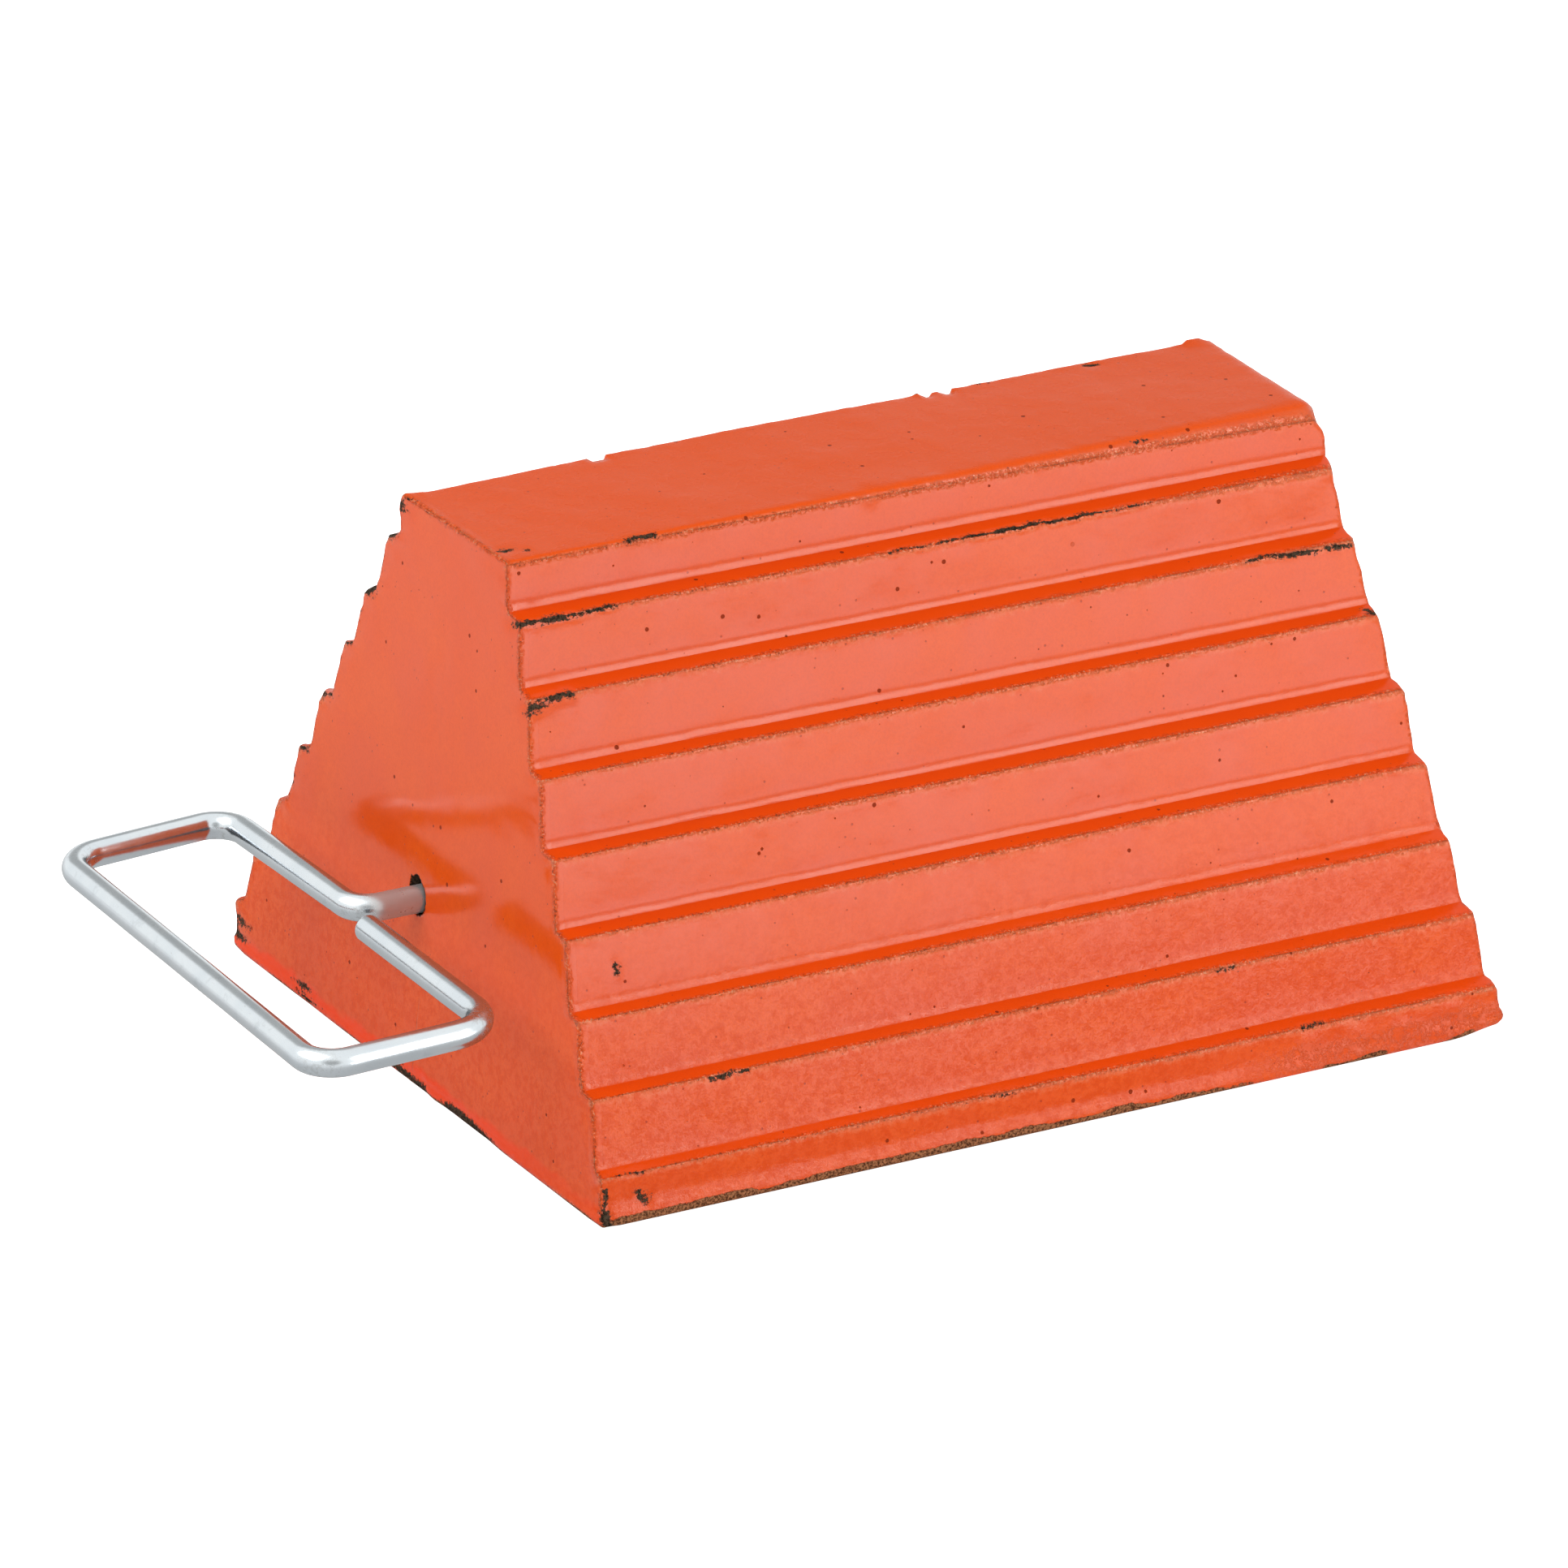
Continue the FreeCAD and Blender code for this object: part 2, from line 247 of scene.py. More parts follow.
def end_radius(right, front):
    """Rounding between the side rows and an end face, row by row."""
    if not right:
        base = np.full(M, 0.65 if front else 1.0)
        base[KIND == "base"] = 1.6
        return base
    r = np.full(M, 0.8)
    r[KIND == "lip"] = 1.1
    for step_, value in ((1, 3.0), (2, 2.2), (3, 1.6)):
        r[(KIND == "lip") & (STEP == step_)] = value
    r[KIND == "top"] = 4.2 if front else 2.0
    r[KIND == "base"] = 2.0
    # spread along the rows, so that a lip's rounding dies out down its riser
    soft = r.copy()
    for i in range(M):
        if KIND[i] == "riser":
            before = [j for j in range(i) if KIND[j] in ("lip", "top")]
            soft[i] = max(r[i], r[before[-1]] * math.exp(-((i - before[-1]) / 2.6) ** 2))
    for _ in range(3):
        soft[1:-1] = 0.25 * soft[:-2] + 0.5 * soft[1:-1] + 0.25 * soft[2:]
    return soft


# columns across an end face, denser around the shank's hole
COLS = np.concatenate([np.linspace(-1, -0.13, 10)[:-1],
                       np.linspace(-0.13, 0.225, 14)[:-1],
                       np.linspace(0.225, 1, 9)])
K = len(COLS) + 1                       # boundary, COLS, boundary
R = 2 * M + 2 * (K - 1)
N_END = 5

fine = np.linspace(0, 16, 26) / 250.0
rest_w = np.linspace(fine[-1], 1, (146))[1:]
NOTCHES = [(-62.3, -58.1, 1.2), (31.4, 33.2, 0.8), (36.9, 39.6, 1.2)]
notch_w = np.array([(x_ + 112.7) / 225.4 for a_, b_, _ in NOTCHES
                    for x_ in (a_ - 0.45, a_ + 0.05, b_ - 0.05, b_ + 0.45)])
notch_w = notch_w[notch_w < 0.995]
rest_w = np.array([w_ for w_ in rest_w if w_ == 1 or np.abs(notch_w - w_).min() > 0.0012])
W = np.sort(np.concatenate([fine, rest_w, notch_w]))

anchors_i, anchors_z = [0, N_TOP - 1], [H, H - 2.6]
for s in range(1, 9):
    foot_i = np.where((STEP == s) & (KIND == "foot"))[0]
    lip_i = np.where((STEP == s) & (KIND == "lip"))[0]
    z = NOMINAL[2 * s][1]
    anchors_i += [foot_i[len(foot_i) // 2], lip_i[len(lip_i) // 2]]
    anchors_z += [z + 2.3, z - 1.9]
anchors_i += [M - N_BASE, M - 1]
anchors_z += [2.2, 0.0]
ROW_Z = np.interp(np.arange(M), anchors_i, anchors_z)


def inner_half(z):
    return 29.2 + (132.3 - z) * 65.2 / 119.7 - 3.6


verts, faces = [], []


def add(points):
    start = len(verts)
    verts.extend([tuple(map(float, p)) for p in points])
    return list(range(start, start + len(points)))


def ring_points(front, rear, slide_f, slide_r, x_of_z):
    """One closed section ring: front down, base across, rear up, top across."""
    f = np.stack([-(front[:, 0] - slide_f), front[:, 1] + slide_z * slide_f], 1)
    r = np.stack([rear[:, 0] - slide_r, rear[:, 1] + slide_z * slide_r], 1)
    t = (COLS * 0.94 + 1) / 2
    low = f[-1] * (1 - t[:, None]) + r[-1] * t[:, None]
    top = f[0] * (1 - t[:, None]) + r[0] * t[:, None]
    yz = np.concatenate([f, low, r[::-1], top[::-1]])
    return np.stack([x_of_z(yz[:, 1]), yz[:, 0], yz[:, 1]], 1)


def per_ring(front_vals, rear_vals):
    t = (COLS * 0.94 + 1) / 2
    low = front_vals[-1] * (1 - t) + rear_vals[-1] * t
    top = front_vals[0] * (1 - t) + rear_vals[0] * t
    return np.concatenate([front_vals, low, rear_vals[::-1], top[::-1]])


rings = []
ring_w = []
f0, r0 = section(0.0)
f1, r1 = section(1.0)
rad = {(e, s): end_radius(e, s) for e in (False, True) for s in (False, True)}
left_in = per_ring(rad[False, True], rad[False, False])
right_in = per_ring(rad[True, True], rad[True, False])
for m in range(N_END):
    phi = math.pi / 2 * m / N_END
    p = ring_points(f0, r0, rad[False, True] * (1 - math.sin(phi)),
                    rad[False, False] * (1 - math.sin(phi)), lambda z: -(HALF_L - KD * z))
    p[:, 0] += left_in * (1 - math.cos(phi))
    rings.append(add(p))
    ring_w.append(0.0)
for w in W:
    front, rear = section(float(w))
    p = ring_points(front, rear, 0 * slide_z, 0 * slide_z, lambda z: 0 * z)
    span = HALF_L - KD * p[:, 2]
    p[:, 0] = (-span + left_in) * (1 - w) + (span - right_in) * w
    rings.append(add(p))
    ring_w.append(float(w))
for m in range(N_END - 1, -1, -1):
    phi = math.pi / 2 * m / N_END
    p = ring_points(f1, r1, rad[True, True] * (1 - math.sin(phi)),
                    rad[True, False] * (1 - math.sin(phi)), lambda z: HALF_L - KD * z)
    p[:, 0] -= right_in * (1 - math.cos(phi))
    rings.append(add(p))
    ring_w.append(1.0)
n_rings = len(rings)
for a, b in zip(rings[:-1], rings[1:]):
    for i in range(R):
        j = (i + 1) % R
        faces.append((a[i], a[j], b[j], b[i]))

side_count = len(verts)


def cap(ring, right, centre, half_block, inner_rings):
    """End face as a grid, with a block of cells left open around the hole.

    Returns the vertices of the innermost ring, in order."""
    n_front, n_low, n_rear = M, K - 1, M
    grid = [[None] * (K + 1) for _ in range(M)]
    for i in range(M):
        grid[i][0] = ring[i]
        grid[i][K] = ring[n_front + n_low + (M - 1 - i)]
    for c in range(1, K):
        grid[M - 1][c] = ring[n_front + c - 1]
        grid[0][c] = ring[n_front + n_low + n_rear + (K - 1 - c)]
    sign = 1 if right else -1
    # the inner grid follows the rounded boundary: same slide, always inside it
    slide = 0.5 * (rad[right, True] + rad[right, False]) * slide_z
    row_z = ROW_Z + slide
    edge_f = np.array([-verts[grid[i][0]][1] for i in range(M)])
    edge_r = np.array([verts[grid[i][K]][1] for i in range(M)])
    for i in range(1, M - 1):
        z = row_z[i]
        h_f = min(inner_half(z), edge_f[i] - 1.1)
        h_r = min(inner_half(z), edge_r[i] - 1.1)
        pts = [(sign * (HALF_L - KD * z), c * (h_f if c < 0 else h_r), z) for c in COLS]
        for c, v in enumerate(add(pts)):
            grid[i][c + 1] = v
    ys = COLS * inner_half(centre[1])
    cs = [c + 1 for c, y in enumerate(ys) if abs(y - centre[0]) < half_block]
    rs = [i for i in range(M) if abs(row_z[i] - centre[1]) < half_block]
    c0, c1, i0, i1 = cs[0], cs[-1], rs[0], rs[-1]
    for i in range(M - 1):
        for c in range(K):
            if i0 <= i < i1 and c0 <= c < c1:
                continue
            quad = (grid[i][c], grid[i][c + 1], grid[i + 1][c + 1], grid[i + 1][c])
            faces.append(quad[::-1] if right else quad)
    loop = [grid[i0][c] for c in range(c0, c1)]
    loop += [grid[i][c1] for i in range(i0, i1)]
    loop += [grid[i1][c] for c in range(c1, c0, -1)]
    loop += [grid[i][c0] for i in range(i1, i0, -1)]
    # corner vertices inside the block stay unused and are dropped at the end
    return loop, inner_rings


def join(a, b, flip):
    n = len(a)
    for i in range(n):
        j = (i + 1) % n
        q = (a[i], a[j], b[j], b[i])
        faces.append(q[::-1] if flip else q)


def angles(loop, centre):
    return np.array([math.atan2(verts[v][2] - centre[1], verts[v][1] - centre[0]) for v in loop])


HOLE = (AXIS_Y, AXIS_Z)
# ---- handle end: the torn mouth of the bore
loop, _ = cap(rings[0], False, HOLE, 10.0, 0)
th = angles(loop, HOLE)
start = np.array([verts[v] for v in loop])
ragged = 0.30 * noise(np.stack([np.cos(th) * 5, np.sin(th) * 5, 0 * th], 1), 1.1, 5)
torn = np.exp(-((np.angle(np.exp(1j * (th - 1.15)))) / 0.75) ** 2)   # up and to the rear
mouth_r = 4.15 + np.abs(ragged) * (1 + 2.2 * torn) + 1.5 * torn
prev = loop
N_MOUTH = 7
mouth_ids = []
for m in range(1, N_MOUTH + 1):
    t = m / N_MOUTH
    t = 1 - (1 - t) ** 1.3
    y = HOLE[0] + mouth_r * np.cos(th)
    z = HOLE[1] + mouth_r * np.sin(th)
    yy = start[:, 1] * (1 - t) + y * t
    zz = start[:, 2] * (1 - t) + z * t
    xx = -(HALF_L - KD * zz)
    ids = add(np.stack([xx, yy, zz], 1))
    join(prev, ids, False)
    mouth_ids.append(ids)
    prev = ids
mouth_x = -(HALF_L - KD * (HOLE[1] + mouth_r * np.sin(th)))
bore_ids = []
for depth, r in ((0.35, None), (1.1, 4.15), (2.2, 4.1), (4.0, 4.1), (9, 4.1), (40, 4.1)):
    rr = mouth_r * 0.985 if r is None else np.minimum(mouth_r, r + 0.9 * torn * (depth < 3))
    ids = add(np.stack([mouth_x * (1 if depth < 4 else 0) + (depth if depth < 4 else -121.5 + depth),
                        HOLE[0] + rr * np.cos(th), HOLE[1] + rr * np.sin(th)], 1))
    join(prev, ids, False)
    bore_ids.append(ids)
    prev = ids
left_bore = prev

# ---- far end: the moulded recess with its floor
REC_R, REC_X = 17.5, 94.5
loop, _ = cap(rings[-1], True, HOLE, 24.0, 0)
th = angles(loop, HOLE)
start = np.array([verts[v] for v in loop])
prev = loop
recess_ids = []
for m in range(1, 6):
    t = m / 5
    rr = REC_R + 1.0
    yy = start[:, 1] * (1 - t) + (HOLE[0] + rr * np.cos(th)) * t
    zz = start[:, 2] * (1 - t) + (HOLE[1] + rr * np.sin(th)) * t
    ids = add(np.stack([HALF_L - KD * zz, yy, zz], 1))
    join(prev, ids, True)
    prev = ids
edge_x = HALF_L - KD * (HOLE[1] + (REC_R + 1) * np.sin(th))
steps = [(REC_R + 1 - math.sin(a), 1 - math.cos(a), "edge") for a in (0.4, 0.8, 1.2, 1.57)]
for rr, dx, _k in steps:
    ids = add(np.stack([edge_x - dx, HOLE[0] + rr * np.cos(th), HOLE[1] + rr * np.sin(th)], 1))
    join(prev, ids, True)
    recess_ids.append(ids)
    prev = ids
for t in np.linspace(0.1, 1, 10):
    xx = (edge_x - 1) * (1 - t) + (REC_X + 1.5) * t
    ids = add(np.stack([xx, HOLE[0] + REC_R * np.cos(th), HOLE[1] + REC_R * np.sin(th)], 1))
    join(prev, ids, True)
    recess_ids.append(ids)
    prev = ids
for a in (0.4, 0.8, 1.2, 1.57):
    rr = REC_R - 1.5 + 1.5 * math.cos(a)
    ids = add(np.stack([0 * th + REC_X + 1.5 - 1.5 * math.sin(a), HOLE[0] + rr * np.cos(th),
                        HOLE[1] + rr * np.sin(th)], 1))
    join(prev, ids, True)
    recess_ids.append(ids)
    prev = ids
for rr in (13.0, 10.0, 7.0, 4.6, 4.1):
    ids = add(np.stack([0 * th + REC_X, HOLE[0] + rr * np.cos(th), HOLE[1] + rr * np.sin(th)], 1))
    join(prev, ids, True)
    recess_ids.append(ids)
    prev = ids
for x in (92.0, 60.0):
    ids = add(np.stack([0 * th + x, HOLE[0] + 4.1 * np.cos(th), HOLE[1] + 4.1 * np.sin(th)], 1))
    join(prev, ids, True)
    recess_ids.append(ids)
    prev = ids


def zipper(a, b, centre):
    """Closes two rings with different vertex counts, deep inside the bore."""
    def order(loop_):
        t = angles(loop_, centre)
        k = np.argsort(t)
        return [loop_[i] for i in k], t[k]
    A, ta = order(a)
    B, tb = order(b)
    i = j = 0
    na, nb = len(A), len(B)
    while i < na or j < nb:
        ua = (ta[i % na] + 2 * math.pi * (i // na)) if i < na else 1e9
        ub = (tb[j % nb] + 2 * math.pi * (j // nb)) if j < nb else 1e9
        if ua <= ub:
            faces.append((A[(i + 1) % na], A[i % na], B[j % nb]))
            i += 1
        else:
            faces.append((A[i % na], B[j % nb], B[(j + 1) % nb]))
            j += 1


zipper(left_bore, prev, HOLE)

# drop the vertices that no face uses
V = np.array(verts)
used = np.zeros(len(V), bool)
for f in faces:
    used[list(f)] = True
remap = np.cumsum(used) - 1
F = [tuple(int(remap[v]) for v in f) for f in faces]
inner = np.zeros(len(V), bool)
for ids in bore_ids + recess_ids:
    inner[ids] = True
mouth_mask = np.zeros(len(V))
for k_, ids in enumerate(mouth_ids):
    mouth_mask[ids] = max(0.0, (k_ + 1 - 3) / (N_MOUTH - 3))
mouth_mask[bore_ids[0]] = 1.0

# what each side vertex is, for wear
edge = np.zeros(len(V))
row_edge = np.zeros(M)
for i in range(M):
    if KIND[i] in ("lip", "top"):
        row_edge[i] = 1.0
lipness = np.array([max([row_edge[j] * math.exp(-((i - j) / 2.2) ** 2)
                         for j in range(max(0, i - 8), min(M, i + 9))] or [0]) for i in range(M)])
ring_edge = per_ring(lipness, lipness)
ring_edge[M:M + K - 1] = 0
ring_edge[2 * M + K - 1:] *= 0
for s, ids in enumerate(rings):
    edge[ids] = ring_edge
is_front = np.zeros(len(V), bool)
riser_row = np.zeros(len(V))
for ids in rings:
    is_front[ids[:M]] = True
end_edge = np.zeros(len(V))
for s, ids in enumerate(rings[:N_END + 5]):
    end_edge[ids] = math.exp(-((s - 2.0) / 3.2) ** 2)
for s, ids in enumerate(rings[::-1][:N_END + 3]):
    end_edge[ids] = np.maximum(end_edge[ids], 0.75 * math.exp(-((s - 2.0) / 3.0) ** 2))

# distance from each vertex to the nearest lip, and to the nearest end corner
mid_f, mid_r = section(0.5)
lip_rows = []
for rows_ in (mid_f, mid_r):
    s_ = np.concatenate([[0], np.cumsum(np.linalg.norm(np.diff(rows_, axis=0), axis=1))])
    at = [s_[8]] + [s_[np.where((STEP == k_) & (KIND == "lip"))[0][2]] for k_ in range(1, 9)]
    lip_rows.append(np.minimum(np.abs(s_[:, None] - np.array(at)[None, :]).min(axis=1), 6.0))
lip_d = np.full(len(V), 6.0)
for ids in rings:
    a_ = np.array(ids)
    lip_d[a_[:M]] = lip_rows[0]
    rear_ids = a_[M + K - 1:2 * M + K - 1]
    lip_d[rear_ids] = lip_rows[1][::-1]
    top_ids = a_[2 * M + K - 1:]
    away = np.minimum(np.abs(V[top_ids, 1] - V[a_[0], 1]), np.abs(V[top_ids, 1] - V[rear_ids[-1], 1]))
    lip_d[top_ids] = np.minimum(away + lip_rows[0][0], 6.0)
end_d = np.full(len(V), 6.0)
for ring_ in (rings[2], rings[-3]):
    loop_ = V[ring_ + ring_[:1]]
    dense_ = np.concatenate([loop_[i] + (loop_[i + 1] - loop_[i])
                             * np.linspace(0, 1, max(2, int(np.linalg.norm(loop_[i + 1] - loop_[i]) / 0.4)),
                                           endpoint=False)[:, None] for i in range(len(loop_) - 1)])
    near = np.where((V[:, 0] * np.sign(loop_[0, 0]) > 100))[0]
    for part in np.array_split(near, 24):
        gap = np.sqrt(((V[part][:, None, :] - dense_[None, :, :]) ** 2).sum(axis=2)).min(axis=1)
        end_d[part] = np.minimum(end_d[part], gap)

# ------------------------------------------------------------------- wear
# (start, end, radius, strength, depth) in mm: places where the coat is gone
CHIPS = [
    ((-114, -35.5, 131.3), (-99, -35.5, 130.9), 1.05, 1.0, 0.45),
    ((-99, -35.4, 131.1), (-88, -35.4, 131.4), 0.8, 0.85, 0.3),
    ((-115.6, -43.9, 112.4), (-113, -43.9, 113.2), 1.7, 1.0, 0.6),
    ((-113, -43.7, 113.4), (-104, -43.6, 114.4), 1.35, 1.0, 0.5),
    ((-13, -35.5, 131.2), (10, -35.5, 131.1), 0.5, 0.75, 0.2),
    ((10, -35.5, 131.0), (46, -35.6, 130.8), 0.68, 0.95, 0.25),
    ((46, -35.6, 130.7), (62, -35.6, 130.6), 0.5, 0.75, 0.2),
    ((84, -44.0, 113.5), (97, -44.2, 113.2), 0.6, 0.85, 0.2),
    ((97, -44.2, 113.0), (113, -44.4, 112.6), 0.8, 1.0, 0.25),
    ((114.5, -51.0, 98.2), (117.0, -52.6, 97.6), 1.3, 1.0, 0.5),
    ((115.6, -58.9, 85.0), (116.5, -60.2, 83.0), 0.9, 0.95, 0.4),
    ((-117.6, -56.0, 93.4), (-118.3, -57.3, 88.6), 1.0, 0.85, 0.5),
    ((-118.7, -57.5, 87.5), (-119.4, -59.2, 83.5), 0.9, 0.8, 0.4),
    ((-115.6, -99.7, 7.0), (-114.0, -99.9, 5.2), 1.6, 1.0, 0.6),
    ((-124.4, -99.7, 8.5), (-125.4, -100.1, 5.5), 1.1, 0.9, 0.5),
    ((-126.2, -99.6, 3.5), (-125.0, -100.6, 0.6), 1.6, 1.0, 0.7),
    ((-121.0, -97.9, 12.6), (-114.0, -98.2, 12.4), 0.7, 0.75, 0.3),
    ((-108.6, -74.0, 55.6), (-107.6, -74.3, 54.0), 1.0, 0.85, 0.4),
    ((-92, -90.5, 28.8), (-82, -90.6, 28.8), 0.9, 0.95, 0.35),
    ((-123.8, -84.3, 31.0), (-122.9, -83.2, 33.5), 0.9, 0.7, 0.3),
    ((-79.5, -33.4, 139.8), (-79.9, -34.0, 137.5), 0.7, 0.5, 0.25),
    ((-18.9, -98.6, 11.6), (-12.1, -98.8, 11.2), 0.8, 0.75, 0.3),
    ((-48.6, -91.5, 27.8), (-44.6, -91.5, 27.8), 0.7, 0.7, 0.25),
    ((50.0, -90.9, 28.0), (55.0, -90.9, 28.0), 0.8, 0.75, 0.25),
    ((70.0, -98.9, 12.2), (76.0, -98.9, 12.2), 0.9, 0.85, 0.3),
    ((-7.6, -77.0, 62.0), (-6.8, -76.9, 61.0), 0.7, 0.6, 0.3),
    ((-112.0, -19.0, 144.4), (-104.0, -21.5, 144.4), 0.9, 0.9, 0.3),
    ((-80.0, -26.4, 143.9), (-72.0, -26.4, 143.9), 0.9, 0.85, 0.3),
    ((-62.3, 27.4, 143.0), (-58.1, 27.4, 143.0), 0.8, 0.5, 0.0),
    ((30.2, 26.8, 144.4), (31.0, 26.8, 144.4), 0.8, 1.0, -0.5),
    ((36.4, 24.8, 144.4), (37.4, 24.8, 144.4), 0.7, 0.95, 0.1),
    ((47.0, 26.4, 144.4), (47.9, 26.4, 144.4), 0.9, 0.85, -0.2),
    ((-112.4, 22.0, 143.5), (-113.0, 26.0, 140.5), 1.3, 0.85, 0.3),
    ((-113.4, 30.8, 132.6), (-114.2, 34.8, 130.8), 1.2, 1.0, 0.3),
    ((-115.1, 38.4, 115.8), (-115.6, 42.6, 113.6), 1.1, 1.0, 0.3),
    ((-117.0, 48.0, 98.4), (-117.4, 52.0, 97.0), 0.8, 0.95, 0.25),
    ((-118.8, 57.0, 82.0), (-119.0, 61.6, 80.4), 0.8, 0.9, 0.25),
    ((-120.6, 66.4, 64.4), (-120.8, 71.0, 62.8), 0.7, 0.85, 0.2),
    ((-121.6, 73.4, 55.0), (-121.8, 73.8, 52.6), 0.9, 0.95, 0.3),
    ((78.0, 24.4, 144.4), (80.6, 24.0, 144.4), 0.8, 1.0, 0.4),
    ((107.6, 27.0, 144.8), (112.4, 27.0, 143.8), 0.8, 0.75, 0.1),
    ((62.0, -26.0, 143.0), (66.0, -26.0, 143.0), 0.8, 0.9, 0.3),
    ((-125.4, 99.3, 13.0), (-126.2, 99.6, 9.0), 1.2, 0.9, 0.4),
    ((-126.2, 99.6, 9.0), (-126.4, 98.6, 4.5), 2.0, 1.0, 0.8),
    ((-126.4, 98.0, 5.0), (-126.6, 93.0, 3.6), 1.5, 1.0, 0.7),
    ((-126.2, 96.6, 8.0), (-125.6, 95.6, 12.0), 0.7, 0.8, 0.2),
    ((-126.1, 93.6, 6.0), (-125.8, 93.0, 9.0), 0.7, 0.85, 0.2),
    ((-126.6, 65.0, 4.2), (-126.6, 60.5, 3.0), 1.3, 1.0, 0.5),
    ((-126.4, 59.5, 6.5), (-126.6, 58.0, 3.0), 0.7, 0.9, 0.3),
    ((-126.8, 56.0, 2.4), (-126.8, 50.0, 1.0), 1.2, 1.0, 0.5),
    ((-126.8, 10.0, 1.6), (-126.8, -8.0, 1.0), 1.2, 0.95, 0.5),
    ((-126.8, -20.0, 1.6), (-126.8, -42.0, 1.0), 1.4, 1.0, 0.6),
    # the rear side, out of sight in the main view
    ((-60, 43.6, 114.4), (-44, 43.6, 114.4), 0.9, 0.95, 0.35),
    ((20, 71.8, 62.8), (43, 71.8, 62.8), 0.8, 0.85, 0.3),
    ((78, 90.6, 28.4), (92, 90.6, 28.4), 1.1, 0.95, 0.45),
    ((-20, 99.5, 9.0), (-16, 99.9, 6.0), 1.3, 0.9, 0.4),
    ((124.5, 60.0, 3.0), (126.5, 72.0, 1.6), 1.3, 1.0, 0.5),
    ((118.0, -52.0, 95.0), (119.0, -54.0, 90.0), 0.9, 0.8, 0.4),
]


def capsule(p, a, b):
    a, b = np.array(a, float), np.array(b, float)
    ab = b - a
    t = np.clip(((p - a) @ ab) / max(ab @ ab, 1e-9), 0, 1)[:, None]
    return np.linalg.norm(p - (a + t * ab), axis=1)


chip = np.zeros(len(V))
sink = np.zeros(len(V))
wob = np.stack([noise(V, 3.1, 71), noise(V, 3.1, 72), noise(V, 3.1, 73)], 1) * 0.55
for a, b, r, s, d in CHIPS:
    dist = capsule(V + wob, a, b)
    g = np.exp(-(dist / (r * 1.20)) ** 2)
    chip = np.maximum(chip, s * g)
    sink = np.where(np.abs(d * g) > np.abs(sink), d * g, sink)

# the coat never reached the last millimetres above the ground
strip = smooth(3.3, 1.4, V[:, 2] + 0.7 * noise(V, 9, 31) + 0.3 * noise(V, 2.2, 32)
               + 1.5 * smooth(-125.0, -126.2, V[:, 0]) + 0.9 * smooth(40, 70, V[:, 0]))
patches = np.maximum(smooth(80, 20, V[:, 0] + 42 * noise(V, 22, 33)),
                     np.maximum(smooth(73, 77, V[:, 0]) * smooth(95, 91, V[:, 0]),
                                0.8 * smooth(107, 111, V[:, 0]) * smooth(121, 117, V[:, 0])))
strip *= 0.30 + 0.70 * patches
strip[inner] = 0
bare = inner.astype(float)

# ----------------------------------------------------------- displacement
face_n = np.zeros_like(V)
for f in faces:
    p = V[list(f)]
    n = np.cross(p[2] - p[0], p[-1] - p[1]) if len(f) == 4 else np.cross(p[1] - p[0], p[2] - p[0])
    for v in f:
        face_n[v] += n
length = np.linalg.norm(face_n, axis=1)
N = face_n / np.maximum(length, 1e-12)[:, None]

free = np.where(inner, 0.0, 1.0)
ground = smooth(0.4, 3.0, V[:, 2])
wave = 0.30 * fbm(V, 46, 3, 2) + 0.10 * noise(V, 13, 9)
skin = 0.035 * noise(V, 4.2, 11)
lump = 0.06 * np.clip(noise(V, 7.0, 13) - 0.25, 0, 1)
crumb = noise(V, 1.7, 21) * 0.55 + noise(V, 3.3, 22) * 0.45
crumb_amp = 0.16 * edge + 0.30 * end_edge
last_riser = smooth(48, 84, V[:, 0]) * smooth(14, 10, V[:, 2]) * (V[:, 1] < -90)
blob = 0.9 * last_riser * np.clip(fbm(V * [0.7, 1, 2.2], 4.6, 41, 2) + 0.10, 0, 1)
wrinkle = (np.exp(-(capsule(V, (-122.5, -98.8, 11.5), (-119.0, -99.4, 8.0)) / 3.2) ** 2)
           * 0.35 * noise(V * [2.6, 1, 0.8], 2.0, 43))
cracks = np.exp(-(capsule(V, (-126.6, 8, 3.6), (-126.6, -42, 2.8)) / 2.4) ** 2) \
    * 0.35 * noise(V * [1, 0.45, 2.0], 2.2, 47)
dent = -0.7 * np.exp(-(capsule(V, (-13, -27, 144), (-13, -33, 139)) / 2.2) ** 2)
disp = free * ground * (wave + skin + lump + crumb * crumb_amp + wrinkle + blob + cracks + dent)
disp -= free * sink * smooth(0.2, 1.2, V[:, 2] + 0.6)
V = V + N * disp[:, None]

chew = smooth(-104, -116, V[:, 0]) * smooth(18, 24, V[:, 1]) * edge * free
V[:, 0] -= 0.35 * chew * noise(V, 2.6, 61)
V[:, 1] += 0.55 * chew * noise(V, 2.2, 62)
V[:, 2] += 0.55 * chew * noise(V, 2.2, 63)
# the far end stands a little proud of its draft near the top
V[:, 0] += free * smooth(92, 112, V[:, 0]) * (0.6 * smooth(50, 80, V[:, 2])
    + (2.2 - 0.3 * np.clip((V[:, 1] + 27) / 54, 0, 1)) * smooth(125, 136, V[:, 2]))
# the rear corner at the handle end is broken off, and the teeth ends with it
corner = smooth(9, 0, np.linalg.norm((V - [-127, 101, 0]) * [1, 1, 0.7], axis=1)) * free
V[:, 0] += 0.7 * corner
V[:, 1] -= 0.6 * corner
# sharp little notches in the rear top edge
near_edge = smooth(3.2, 1.6, np.hypot(V[:, 1] - 26.8, V[:, 2] - H)) * free
for a_, b_, deep in NOTCHES:
    inside = smooth(a_ - 0.45, a_ + 0.05, V[:, 0]) * smooth(b_ + 0.45, b_ - 0.05, V[:, 0])
    V[:, 2] -= deep * inside * near_edge
    V[:, 1] -= deep * inside * near_edge
